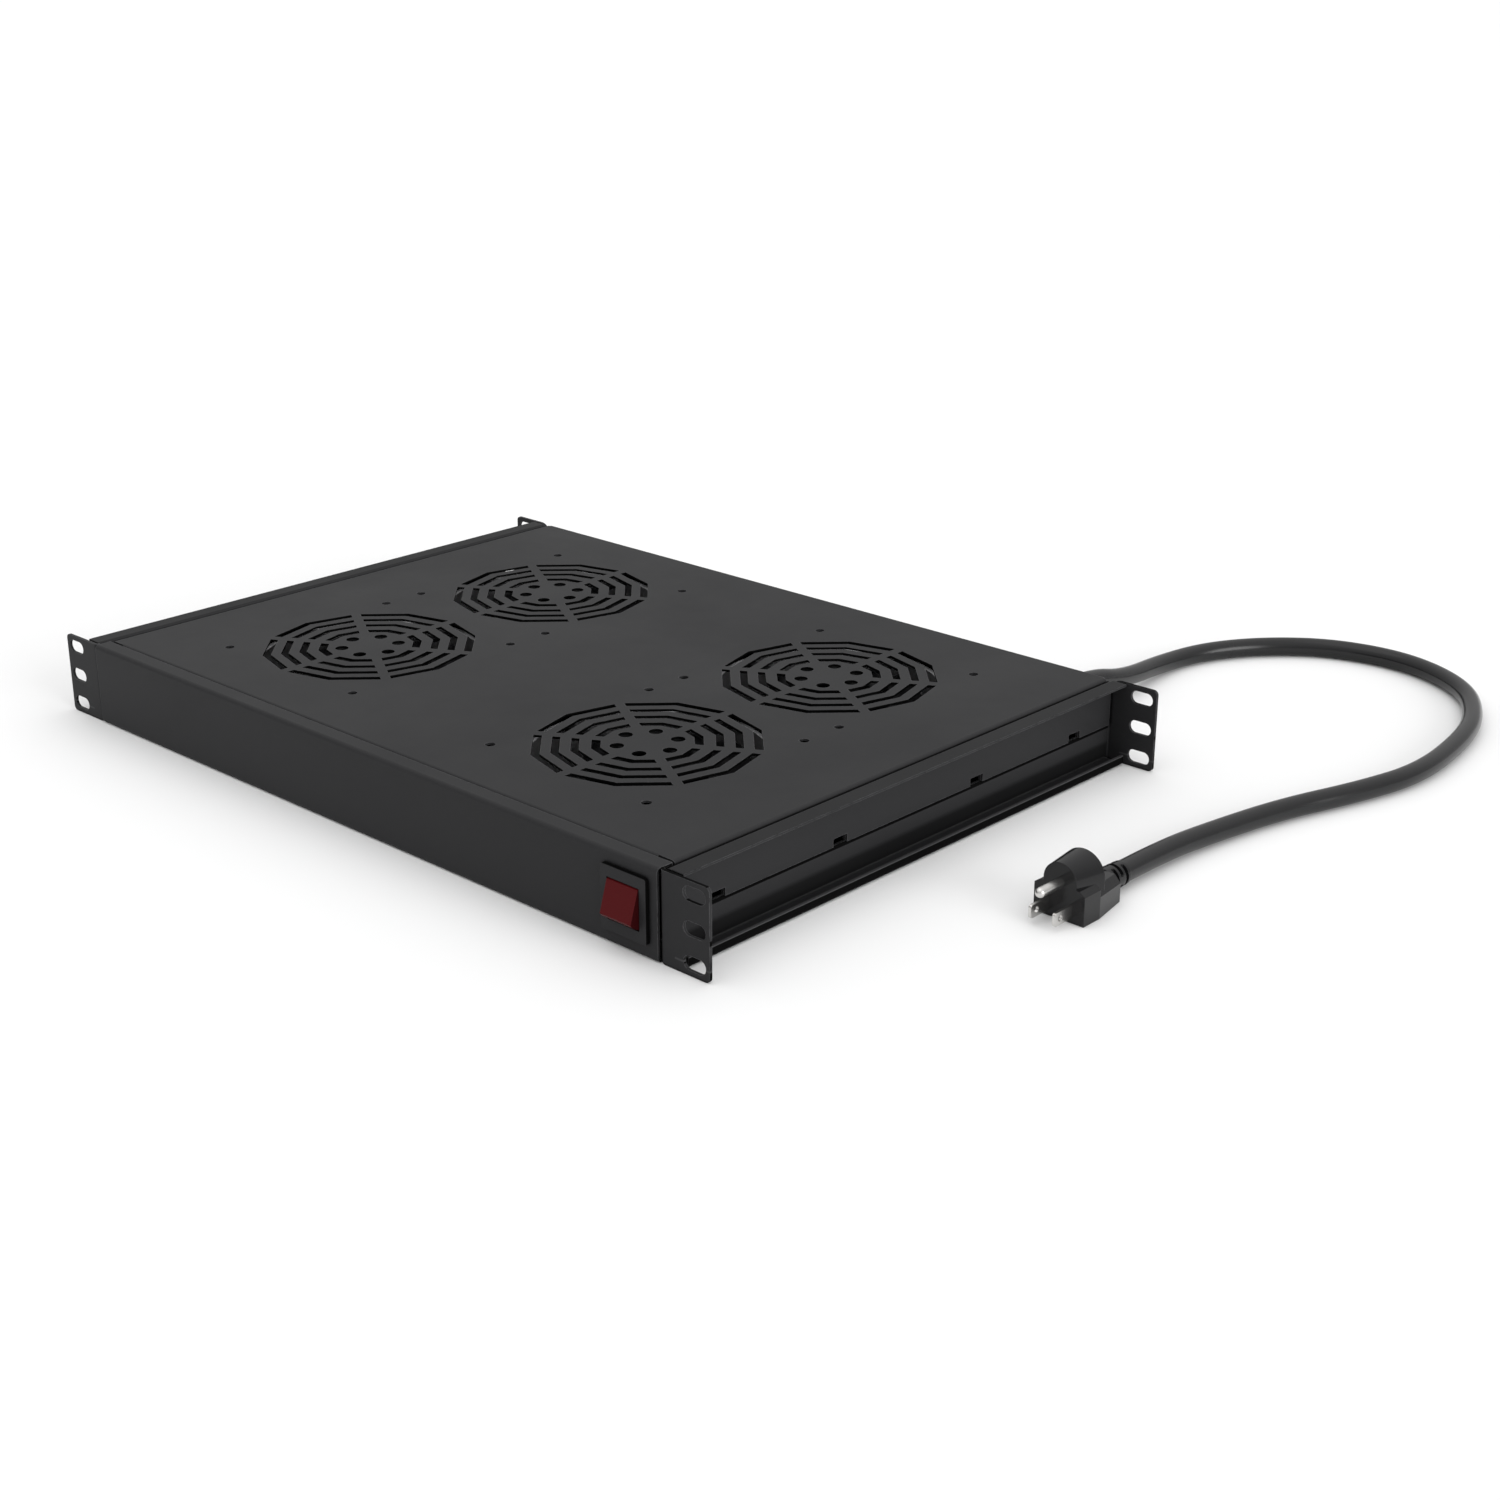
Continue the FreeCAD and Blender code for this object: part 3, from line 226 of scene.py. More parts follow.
def strain_relief(node):
    """Radius R (1 - taper * height) - depth * slot(height) * (1 - bridge(angle)).

    Over the last END_ROUNDING the radius shrinks to END_SHARE along a quarter circle.
    """
    low, high = (np.array(corner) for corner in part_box(node))
    centre = ((low + high) / 2)[None]
    outer = (high[0] - low[0]) / 2
    length = high[1] - low[1]
    height = np.linspace(0, length, RELIEF_RINGS)
    angle = np.linspace(0, 2 * np.pi, RELIEF_SIDES, endpoint=False)
    tapered = outer * (1 - RELIEF_TAPER * height / length)
    radius = np.repeat(tapered[:, None], angle.size, axis=1)
    for row in range(SLOT_ROWS):
        middle = length * (row + 1) / (SLOT_ROWS + 1)
        turn = (angle - row * np.pi / 2 + np.pi / 2) % np.pi - np.pi / 2
        slot = bump_of(height - middle, SLOT_WIDTH, SLOT_SOFTNESS)[:, None]
        bridge = bump_of(turn, BRIDGE, BRIDGE_SOFTNESS)[None]
        radius -= SLOT_DEPTH * slot * (1 - bridge)
    rounding = np.clip((length - height) / END_ROUNDING, 0, 1)
    quarter = np.sqrt(1 - (1 - rounding) ** 2)
    radius *= (END_SHARE + (1 - END_SHARE) * quarter)[:, None]
    start = centre + np.array([[0, -length / 2, 0]])
    rings = turned(radius, height, start, (0, 1, 0), (0, 0, 1), (1, 0, 0))
    piece = ring_surface("relief_sleeve", rings, start, start + np.array([[0, length, 0]]))
    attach(piece, "casing")
    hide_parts(node)
    return piece


relief = strain_relief("plug_relief")

# %% [markdown]
# ## Cross-head screws
# A pan head is a shallow dome with a cross pressed into it. The recess could be a boolean cut,
# but it is only a lower height inside two crossed slots, so the same dome formula carries it.

# %% Cross-head screw
HEAD_RINGS, HEAD_SIDES = 26, 48
HEAD_CENTRE = 0.02              # innermost ring, as a share of the head's radius
DOME_FALL = 0.45                # from the head's middle to its rim, as a share of its height
CROSS_DEPTH = 0.6               # of the head's height
CROSS_WIDTH, CROSS_SPAN = 0.26, 1.24        # of the head's radius
WIDTH_SOFTNESS, SPAN_SOFTNESS = 0.08, 0.15


def cross_slot(beside, along):
    """1 inside one slot of the cross, 0 outside it: a soft step across it times one along it."""
    return (bump_of(beside, CROSS_WIDTH, WIDTH_SOFTNESS)
            * bump_of(along, CROSS_SPAN, SPAN_SOFTNESS))


def cross_screws(name, node, places, along, across, up, shank, head):
    """Pan-head screws. shank and head are (radius, length), and each place is under the head.

    On the dome at a share q of the head's radius, the height is H (1 - fall q^2), less the
    cross: a depth of 0.6 H inside either of its two slots.
    """
    share = np.linspace(1.0, HEAD_CENTRE, HEAD_RINGS)[:, None]
    angle = np.linspace(0, 2 * np.pi, HEAD_SIDES, endpoint=False)[None]
    flat, tall = share * np.cos(angle), share * np.sin(angle)
    cross = np.maximum(cross_slot(flat, tall), cross_slot(tall, flat))
    dome = head[1] * (1 - DOME_FALL * share ** 2 - CROSS_DEPTH * cross)
    ones = np.ones_like(angle)
    radius = np.concatenate([shank[0] * ones, shank[0] * ones, head[0] * ones,
                             head[0] * share * ones])
    height = np.concatenate([-shank[1] * ones, 0 * ones, 0 * ones, dome])
    places = np.array(places)
    rings = turned(radius, height, places, along, across, up)
    way = np.array(along)[None]
    piece = ring_surface(name, rings, places - shank[1] * way,
                         places + (1 - CROSS_DEPTH) * head[1] * way)
    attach(piece, "casing")
    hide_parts(node)
    return piece


print("cross", CROSS_DEPTH, "of a head's height deep")

# %% Lid screws
LID_SHANK = (1.5 * MM, 6.0 * MM)
LID_HEAD_HEIGHT = 1.8 * MM

lid_low, lid_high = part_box("lid_screws")
lid_head = ((lid_high[2] - lid_low[2]) / 2, LID_HEAD_HEIGHT)
lid_z = (lid_high[2] + lid_low[2]) / 2
lid_places = [(x, lid_high[1] - lid_head[1], lid_z)
              for x in (lid_low[0] + lid_head[0], 0.0, lid_high[0] - lid_head[0])]
lid_screws = cross_screws("lid_screw_set", "lid_screws", lid_places, (0, 1, 0), (0, 0, 1),
                          (1, 0, 0), LID_SHANK, lid_head)

# %% Fan screws
FAN_HEAD = (3.6 * MM, 2.2 * MM)
FAN_SHANK_RADIUS = 2.0 * MM

screw_low, screw_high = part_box("fan_screws")
fan_seat = screw_high[2] - FAN_HEAD[1]
fan_middles = {}
for place in ("front_left", "front_right", "rear_left", "rear_right"):
    fan_low, fan_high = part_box("fan_housing_" + place)
    fan_middles[place] = [(fan_low[axis] + fan_high[axis]) / 2 for axis in (0, 1)]
reach = screw_high[0] - FAN_HEAD[0] - fan_middles["rear_right"][0]
fan_places = [(x + i * reach, y + j * reach, fan_seat)
              for x, y in fan_middles.values() for i in (-1, 1) for j in (-1, 1)]
fan_screws = cross_screws("fan_screw_set", "fan_screws", fan_places, (0, 0, 1), (1, 0, 0),
                          (0, 1, 0), (FAN_SHANK_RADIUS, fan_seat - screw_low[2]), FAN_HEAD)
print("fan screws", len(fan_places), "at", round(reach / MM, 2), "mm from each axis")

# %% [markdown]
# ## Effects that several finishes share
# Powder coat, cast paint and moulded plastic all have a fine grain, slightly worn edges that are
# also a painted highlight, and a little dust; creases get painted shade. Each effect is a node
# group built once, so that every material can use it with its own values. A group gives out only
# masks, tones and heights.

# %% Node-group helpers


def new_group(name, inputs, outputs):
    """Empty shader node group with float inputs (name, default) and outputs."""
    group = bpy.data.node_groups.new(name, "ShaderNodeTree")
    number = "NodeSocketFloat"
    for title, value in inputs:
        socket = group.interface.new_socket(title, in_out="INPUT", socket_type=number)
        socket.default_value = value
    for title in outputs:
        group.interface.new_socket(title, in_out="OUTPUT", socket_type=number)
    return group, group.nodes.new("NodeGroupInput"), group.nodes.new("NodeGroupOutput")


def feed(tree, socket, value):
    """Give a socket a number, or link it from another socket."""
    if isinstance(value, (int, float)):
        socket.default_value = value
    else:
        tree.links.new(value, socket)


def noise(tree, scale, detail, roughness):
    """Value of a noise texture on the piece's own coordinates."""
    place = tree.nodes.new("ShaderNodeTexCoord")
    texture = tree.nodes.new("ShaderNodeTexNoise")
    texture.inputs["Detail"].default_value = detail
    texture.inputs["Roughness"].default_value = roughness
    feed(tree, texture.inputs["Scale"], scale)
    tree.links.new(place.outputs["Object"], texture.inputs["Vector"])
    return texture.outputs["Fac"]


def spread(tree, source, low, high, to_low=0.0, to_high=1.0):
    """Map Range node: source from low..high to to_low..to_high, clamped."""
    node = tree.nodes.new("ShaderNodeMapRange")
    for title, value in (("Value", source), ("From Min", low), ("From Max", high),
                         ("To Min", to_low), ("To Max", to_high)):
        feed(tree, node.inputs[title], value)
    return node.outputs["Result"]


def maths(tree, operation, first, second=0.0):
    """Math node on two sockets or numbers."""
    node = tree.nodes.new("ShaderNodeMath")
    node.operation = operation
    for socket, value in zip(node.inputs, (first, second)):
        feed(tree, socket, value)
    return node.outputs["Value"]


def axis_of(tree, vector, axis):
    """One coordinate of a vector socket."""
    split = tree.nodes.new("ShaderNodeSeparateXYZ")
    tree.links.new(vector, split.inputs["Vector"])
    return split.outputs[axis]


def names(*helpers):
    """The helpers' names in one line."""
    return ", ".join(helper.__name__ for helper in helpers)


print("helpers:", names(new_group, feed, noise, spread, maths, axis_of))

# %% Grain group


def grain_group():
    """Grain: fine noise of Scale bumps to the metre gives Height, and broad noise gives Tone."""
    group, start, end = new_group("grain", (("Scale", 1500.0),), ("Height", "Tone"))
    fine = noise(group, start.outputs["Scale"], detail=2.0, roughness=0.5)
    broad = noise(group, 9.0, detail=4.0, roughness=0.6)
    group.links.new(fine, end.inputs["Height"])
    group.links.new(broad, end.inputs["Tone"])
    return group


GRAIN = grain_group()
print("group", GRAIN.name)

# %% Worn edge and painted highlight group
BEVEL_SAMPLES = 4


def edge_wear_and_highlight_group():
    """Worn edges and painted highlight: where a rounded normal leaves the true one, broken up by
    noise.

    Mask = smallest of 1 and (1 - rounded normal . true normal) / Limit * noise.
    """
    group, start, end = new_group("edge_wear_and_highlight", (("Width", 0.6 * MM), ("Limit", 0.12)),
                                  ("Mask",))
    bevel = group.nodes.new("ShaderNodeBevel")
    bevel.samples = BEVEL_SAMPLES
    geometry = group.nodes.new("ShaderNodeNewGeometry")
    dot = group.nodes.new("ShaderNodeVectorMath")
    dot.operation = "DOT_PRODUCT"
    group.links.new(start.outputs["Width"], bevel.inputs["Radius"])
    group.links.new(bevel.outputs["Normal"], dot.inputs[0])
    group.links.new(geometry.outputs["True Normal"], dot.inputs[1])
    leaving = maths(group, "SUBTRACT", 1.0, dot.outputs["Value"])
    scaled = maths(group, "DIVIDE", leaving, start.outputs["Limit"])
    patches = noise(group, 220.0, detail=5.0, roughness=0.7)
    worn = maths(group, "MULTIPLY", scaled, spread(group, patches, low=0.38, high=0.62))
    group.links.new(maths(group, "MINIMUM", worn, 1.0), end.inputs["Mask"])
    return group


EDGE_WEAR_AND_HIGHLIGHT = edge_wear_and_highlight_group()
print("group", EDGE_WEAR_AND_HIGHLIGHT.name)

# %% Dust group


def dust_group():
    """Dust: faces that look up, in patches. Mask = clamp(normal z) * noise * Amount."""
    group, start, end = new_group("dust", (("Amount", 0.3),), ("Mask",))
    normal = group.nodes.new("ShaderNodeNewGeometry").outputs["Normal"]
    up = spread(group, axis_of(group, normal, "Z"), low=0.5, high=1.0)
    patches = noise(group, 30.0, detail=6.0, roughness=0.65)
    lying = maths(group, "MULTIPLY", up, spread(group, patches, low=0.35, high=0.75))
    group.links.new(maths(group, "MULTIPLY", lying, start.outputs["Amount"]),
                    end.inputs["Mask"])
    return group


DUST = dust_group()
print("group", DUST.name)

# %% Painted crevice shade group
OCCLUSION_SAMPLES = 6


def crevice_shade_group():
    """Painted shade in creases: Mask = 1 - ambient occlusion within Distance, stretched from Low
    to High.
    """
    group, start, end = new_group(
        "crevice", (("Distance", 3 * MM), ("Low", 0.22), ("High", 0.50)), ("Mask",))
    occlusion = group.nodes.new("ShaderNodeAmbientOcclusion")
    occlusion.samples = OCCLUSION_SAMPLES
    group.links.new(start.outputs["Distance"], occlusion.inputs["Distance"])
    hidden = maths(group, "SUBTRACT", 1.0, occlusion.outputs["AO"])
    mask = spread(group, hidden, start.outputs["Low"], start.outputs["High"])
    group.links.new(mask, end.inputs["Mask"])
    return group


CREVICE_SHADE = crevice_shade_group()
print("group", CREVICE_SHADE.name)

# %% [markdown]
# ## Finishes
# A finish is a Principled shader whose own sockets hold the plain numbers. The groups above only
# vary its colour, roughness and bump over the surface.

# %% Material helpers


def shader(name, colour, roughness, metallic=0.0):
    """New material with one Principled shader; returns it, its tree and that shader."""
    material = bpy.data.materials.new(name)
    material.use_nodes = True
    tree = material.node_tree
    bsdf = tree.nodes["Principled BSDF"]
    bsdf.inputs["Base Color"].default_value = (*colour, 1.0)
    bsdf.inputs["Roughness"].default_value = roughness
    bsdf.inputs["Metallic"].default_value = metallic
    return material, tree, bsdf


def place_group(tree, group, **values):
    """Group node in a material, with its inputs set."""
    node = tree.nodes.new("ShaderNodeGroup")
    node.node_tree = group
    for title, value in values.items():
        node.inputs[title].default_value = value
    return node


def mix_colours(tree, mask, first, second):
    """Colour that goes from first to second by a mask."""
    node = tree.nodes.new("ShaderNodeMix")
    node.data_type = "RGBA"
    tree.links.new(mask, node.inputs["Factor"])
    for socket, value in ((node.inputs[6], first), (node.inputs[7], second)):
        if isinstance(value, tuple):
            socket.default_value = (*value, 1.0)
        else:
            tree.links.new(value, socket)
    return node.outputs[2]


def bump(tree, bsdf, height, depth, edge):
    """Bumps of a depth in metres, over edges rounded by a small radius."""
    node = tree.nodes.new("ShaderNodeBump")
    node.inputs["Distance"].default_value = depth
    tree.links.new(height, node.inputs["Height"])
    bevel = tree.nodes.new("ShaderNodeBevel")
    bevel.samples = BEVEL_SAMPLES
    bevel.inputs["Radius"].default_value = edge
    tree.links.new(bevel.outputs["Normal"], node.inputs["Normal"])
    tree.links.new(node.outputs["Normal"], bsdf.inputs["Normal"])


print("helpers:", names(shader, place_group, mix_colours, bump))

# %% The general finish
# Painted shade colour for creases and joins.
SEAM_SHADE_BLACK = (0.001, 0.001, 0.001)
DUST_GREY = (0.30, 0.29, 0.27)
WEAR_AND_HIGHLIGHT_REACH = 1.5                # lighter width, worn and painted highlight, as a share of the edge's radius
TONE_GAIN, TONE_LIFT = 3.0, 0.02
TONE_LOW, TONE_HIGH = 0.3, 0.7  # where most of the broad noise lies


def finish_of(name, colour, roughness, metallic=0.0, gloss=0.5, grain=1500.0, depth=0.02 * MM,
              edge=0.3 * MM, rubbed_highlight=None, rub_and_highlight=0.0, dust=0.0, crevice=0.0, tone=0.06,
              rough_spread=0.06):
    """Painted, cast or moulded finish: grain, uneven tone, dust, painted shade in creases, and
    lighter edges that are partly worn paint and partly painted highlight.
    """
    material, tree, bsdf = shader(name, colour, roughness, metallic)
    bsdf.inputs["Specular IOR Level"].default_value = gloss
    texture = place_group(tree, GRAIN, Scale=grain)
    lighter = tuple(min(1.0, value * (1 + tone * TONE_GAIN) + tone * TONE_LIFT)
                    for value in colour)
    surface = mix_colours(tree, texture.outputs["Tone"], colour, lighter)
    # Painted shade: creases within this distance are coloured nearly black.
    if crevice:
        seam_shade = place_group(tree, CREVICE_SHADE, Distance=crevice)
        surface = mix_colours(tree, seam_shade.outputs["Mask"], surface, SEAM_SHADE_BLACK)
    # Lighter edges: partly worn paint, partly painted highlight.
    if rub_and_highlight:
        wear_and_highlight = place_group(tree, EDGE_WEAR_AND_HIGHLIGHT, Width=edge * WEAR_AND_HIGHLIGHT_REACH)
        amount = maths(tree, "MULTIPLY", wear_and_highlight.outputs["Mask"], rub_and_highlight)
        surface = mix_colours(tree, amount, surface, rubbed_highlight)
    if dust:
        lying = place_group(tree, DUST, Amount=dust)
        surface = mix_colours(tree, lying.outputs["Mask"], surface, DUST_GREY)
    tree.links.new(surface, bsdf.inputs["Base Color"])
    rough = spread(tree, texture.outputs["Tone"], TONE_LOW, TONE_HIGH,
                   roughness - rough_spread, roughness + rough_spread)
    tree.links.new(rough, bsdf.inputs["Roughness"])
    bump(tree, bsdf, texture.outputs["Height"], depth, edge)
    return material, tree, bsdf


print("seam_shade", SEAM_SHADE_BLACK, "dust", DUST_GREY)

# %% [markdown]
# ## Finishes that change from place to place
# Painted shade darkens the walls of the punched slots, the level flange of the rail and the
# bottom of the side channel, and boring bares the metal of a casting. Such faces could get a
# material of their own, but the solids' meshes stay as they are. So a mask is worked out from
# the position and the normal, and one material covers the whole piece.

# %% Masks by place and direction


def object_axis(tree, axis):
    """Position on the piece along one axis, in metres."""
    return axis_of(tree, tree.nodes.new("ShaderNodeTexCoord").outputs["Object"], axis)


def facing(tree, axis):
    """Size of the normal's share along one axis, from 0 to 1."""
    normal = tree.nodes.new("ShaderNodeNewGeometry").outputs["True Normal"]
    return maths(tree, "ABSOLUTE", axis_of(tree, normal, axis))


def fan_distance(tree):
    """Distance from the nearest fan's axis, in metres.

    The four axes stand at (+-column, middle +- row), so |x| - column and |y - middle| - row are
    measured from whichever axis is nearest.
    """
    column, rear = fan_middles["rear_right"]
    front = fan_middles["front_right"][1]
    middle, row = (front + rear) / 2, (rear - front) / 2
    centred = maths(tree, "SUBTRACT", object_axis(tree, "Y"), middle)
    aside = maths(tree, "SUBTRACT", maths(tree, "ABSOLUTE", object_axis(tree, "X")), column)
    along = maths(tree, "SUBTRACT", maths(tree, "ABSOLUTE", centred), row)
    square = maths(tree, "ADD", maths(tree, "MULTIPLY", aside, aside),
                   maths(tree, "MULTIPLY", along, along))
    return maths(tree, "SQRT", square)


def between(tree, value, low, high):
    """1 where a socket's value lies from low to high, 0 elsewhere."""
    return maths(tree, "MULTIPLY", maths(tree, "GREATER_THAN", value, low),
                 maths(tree, "LESS_THAN", value, high))


def source_of(bsdf, title):
    """Socket that a shader's input is already linked from."""
    return bsdf.inputs[title].links[0].from_socket


def overlay(tree, bsdf, mask, colour):
    """Lay a second colour over what the base colour already is, by a mask."""
    mixed = mix_colours(tree, mask, source_of(bsdf, "Base Color"), colour)
    tree.links.new(mixed, bsdf.inputs["Base Color"])


print("masks:", names(object_axis, facing, fan_distance, between, overlay))

# %% Powder coat
COAT_BLACK = (0.021, 0.021, 0.022)
# Painted shade: darker on level flanges and low in the channel, nearly black in slots and lines.
LEVEL_SHADE = (0.0145, 0.0145, 0.0152)
CHANNEL_SHADE = (0.009, 0.009, 0.0093)
PAINTED_SHADE_BLACK = (0.0012, 0.0012, 0.0012)
GRILLE_RADIUS = 68 * MM
STEEP = 0.6                     # upright share of the normal, under which a face is a wall


def powder_coat(name):
    """Black powder coat: orange-peel bumps, lighter edges that are worn and painted highlight,
    and painted shade in creases.
    """
    return finish_of(name, COAT_BLACK, 0.45, gloss=0.07, grain=1400.0, depth=0.012 * MM,
                     edge=0.4 * MM, rubbed_highlight=(0.11, 0.11, 0.115), rub_and_highlight=0.8, dust=0.01,
                     crevice=2.5 * MM)


def punched_coat_shaded_slots():
    """Powder coat with painted shade: the walls of the punched slots are coloured nearly black.
    """
    material, tree, bsdf = powder_coat("powder_coat_punched")
    # Painted shade: the slot walls near each fan are coloured nearly black.
    near_fan = maths(tree, "LESS_THAN", fan_distance(tree), GRILLE_RADIUS)
    wall = maths(tree, "LESS_THAN", facing(tree, "Z"), STEEP)
    overlay(tree, bsdf, maths(tree, "MULTIPLY", near_fan, wall), PAINTED_SHADE_BLACK)
    return material


def rail_coat_shaded_flange():
    """Powder coat with painted shade: a darker colour on the rail's level flange."""
    material, tree, bsdf = powder_coat("powder_coat_rail")
    # Painted shade: the level flange is coloured darker.
    overlay(tree, bsdf, spread(tree, facing(tree, "Z"), 0.7, 0.95), LEVEL_SHADE)
    return material


print("powder coat", COAT_BLACK, "down to", PAINTED_SHADE_BLACK)

# %% Bracket's coat with painted shade
SHADE_START, SHADE_FULL = 11.0 * MM, 8.5 * MM       # heights over the tray's underside
LIP_SHADE_TOP, LIP_EDGE = 5.1 * MM, 6.0 * MM
BRACKET_TOP = 30 * MM
LIP_SIDE = 221 * MM                                 # from the tray's middle plane
UNDER_RAIL, OVER_RAIL_EDGE = 2.2 * MM, 0.1 * MM
LIP_HIGHLIGHT = (0.05, 0.05, 0.052)
SQUARE_ON = 0.9                 # share of the normal, over which a face looks along an axis


def bracket_coat_shaded(name, top_shade_line):
    """Powder coat with painted shade that darkens the side faces low in the channel.

    Painted shade makes it nearly black on the floor lip, in a line under the rail and, if
    top_shade_line is 1, on the edge between the rail and the lid. The lip's upper edge gets a
    painted highlight.
    """
    material, tree, bsdf = powder_coat(name)
    rail_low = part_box("rail_right")[0][2]
    height, aside = object_axis(tree, "Z"), maths(tree, "ABSOLUTE", object_axis(tree, "X"))
    sideways = maths(tree, "GREATER_THAN", facing(tree, "X"), SQUARE_ON)
    upward = maths(tree, "GREATER_THAN", facing(tree, "Z"), SQUARE_ON)
    shade = spread(tree, height, SHADE_START, SHADE_FULL)
    # Painted shade: side faces low in the channel are coloured darker.
    overlay(tree, bsdf, maths(tree, "MULTIPLY", shade, sideways), CHANNEL_SHADE)
    on_lip = maths(tree, "GREATER_THAN", aside, LIP_SIDE)
    lip = maths(tree, "MULTIPLY", on_lip, maths(tree, "LESS_THAN", height, LIP_SHADE_TOP))
    rail_shadow_line = between(tree, height, rail_low - UNDER_RAIL, rail_low + OVER_RAIL_EDGE)
    lines = maths(tree, "MAXIMUM", lip, rail_shadow_line)
    top = maths(tree, "MULTIPLY", maths(tree, "GREATER_THAN", height, BRACKET_TOP), top_shade_line)
    mask = maths(tree, "MAXIMUM", maths(tree, "MULTIPLY", lines, sideways),
                 maths(tree, "MULTIPLY", top, upward))
    # Painted shade: the floor lip, a line under the rail and the top line are coloured nearly
    # black.
    overlay(tree, bsdf, mask, PAINTED_SHADE_BLACK)
    dull = maths(tree, "MAXIMUM", source_of(bsdf, "Roughness"), mask)
    tree.links.new(dull, bsdf.inputs["Roughness"])
    # Painted highlight: a lighter line along the upper edge of the floor lip.
    edge = maths(tree, "MULTIPLY", on_lip, between(tree, height, LIP_SHADE_TOP, LIP_EDGE))
    overlay(tree, bsdf, edge, LIP_HIGHLIGHT)
    return material


print("bracket shaded under", round(SHADE_START / MM, 1), "mm")

# %% Fan finishes
FAN_BLACK = (0.005, 0.005, 0.0055)
THROAT_INNER, THROAT_OUTER = 56.9 * MM, 58.9 * MM
TURNED_METAL = (0.52, 0.52, 0.53)


def cast_paint():
    """Black paint over a die casting, with the throat bored back to bright metal."""
    material, tree, bsdf = finish_of("cast_paint", FAN_BLACK, 0.45, gloss=0.06, grain=700.0,
                                     depth=0.04 * MM, edge=0.4 * MM,
                                     rubbed_highlight=(0.10, 0.10, 0.11), rub_and_highlight=0.4, dust=0.004)
    bright = between(tree, fan_distance(tree), THROAT_INNER, THROAT_OUTER)
    overlay(tree, bsdf, bright, TURNED_METAL)
    tree.links.new(bright, bsdf.inputs["Metallic"])
    return material


def rotor_paint():
    """Smooth dip paint on the pressed hub and blades."""
    return finish_of("rotor_paint", FAN_BLACK, 0.32, gloss=0.1, grain=500.0,
                     depth=0.01 * MM, edge=0.3 * MM, rubbed_highlight=(0.09, 0.09, 0.09), rub_and_highlight=0.3,
                     dust=0.004)[0]


print("throat bare from", round(THROAT_INNER / MM, 1), "to", round(THROAT_OUTER / MM, 1), "mm")

# %% [markdown]
# ## Plastics and metals
# Moulded plastic takes the fine grain of a spark-eroded tool, and plated metal keeps the marks
# of its press or lathe. Both are the general finish again, with lower bumps. The sides of the
# bezel and the cheeks of the rocker carry painted shade, a darker colour.

# %% Plastics and metals
ROCKER_RED = (0.064, 0.004, 0.005)
CHEEK_SHADE_RED = (0.026, 0.0025, 0.003)
BEZEL_SIDE_SHADE = (0.0022, 0.0022, 0.0022)


def moulded(name, colour, roughness, grain=1800.0, gloss=0.5):
    """Moulded plastic with a spark-eroded grain."""
    return finish_of(name, colour, roughness, gloss=gloss, grain=grain, depth=0.01 * MM)[0]


def switch_plastic_shaded_sides():
    """Moulded bezel whose side faces carry painted shade, a darker colour."""
    material, tree, bsdf = finish_of("switch_plastic_shaded_sides", COAT_BLACK, 0.42, gloss=0.07,
                                     grain=1800.0, depth=0.008 * MM, edge=0.2 * MM)
    # Painted shade: the bezel's side faces are coloured darker.
    overlay(tree, bsdf, spread(tree, facing(tree, "Y"), 0.9, 0.6), BEZEL_SIDE_SHADE)
    return material


def rocker_plastic_shaded_cheeks():
    """Dark red moulded rocker, with painted shade on its two cheeks."""
    material, tree, bsdf = finish_of("rocker_plastic_shaded_cheeks", ROCKER_RED, 0.30, gloss=0.06,
                                     grain=600.0, depth=0.01 * MM)
    # Painted shade: the cheeks are coloured a deeper red.
    overlay(tree, bsdf, spread(tree, facing(tree, "X"), 0.5, 0.8), CHEEK_SHADE_RED)
    return material


def bare_metal(name, colour, roughness):
    """Bare or plated metal with faint tool marks."""
    return finish_of(name, colour, roughness, metallic=1.0, grain=900.0, depth=0.006 * MM,
                     edge=0.2 * MM, tone=0.02, rough_spread=0.05)[0]


print("rocker", ROCKER_RED, "cheeks", CHEEK_SHADE_RED)

# %% Finish of each slot
FINISHES = {
    "cast_black": cast_paint(),
    "rotor_black": rotor_paint(),
    "bronze": bare_metal("sintered_bronze", (0.45, 0.30, 0.16), 0.5),
    "laminations": bare_metal("laminations", (0.30, 0.30, 0.31), 0.45),
    "steel": bare_metal("ground_steel", (0.60, 0.60, 0.61), 0.2),
    "zinc_screw": bare_metal("zinc_plate", (0.62, 0.63, 0.65), 0.28),
    "switch_black": switch_plastic_shaded_sides(),
    "rocker_red": rocker_plastic_shaded_cheeks(),
    "tab_metal": bare_metal("tinned_brass", (0.72, 0.70, 0.62), 0.3),
    "gland_black": moulded("gland_nylon", (0.020, 0.020, 0.021), 0.45),
    "block_grey": moulded("terminal_plastic", (0.30, 0.31, 0.33), 0.5),
    "cord_black": moulded("cord_pvc", (0.008, 0.008, 0.0085), 0.22, 900.0, 0.32),
    "plug_black": moulded("plug_pvc", (0.006, 0.006, 0.0065), 0.16, 1100.0, 0.25),
    "plated_contact": bare_metal("nickel_plate", (0.60, 0.59, 0.575), 0.25),
}
punched, railed = punched_coat_shaded_slots(), rail_coat_shaded_flange()
COATED = {
    "tray": punched, "lid": punched, "rail_left": railed, "rail_right": railed,
    "bracket_left": bracket_coat_shaded("powder_coat_left", 0.0),
    "bracket_right": bracket_coat_shaded("powder_coat_right", 1.0),
}
print("finishes", len(FINISHES), "by slot and", len(COATED), "by piece")

# %% [markdown]
# ## Dress the pieces
# The record names a material slot for each solid, and the slot picks its finish. The coated
# sheet-metal pieces share one slot but differ in their masks, so they are named one by one.

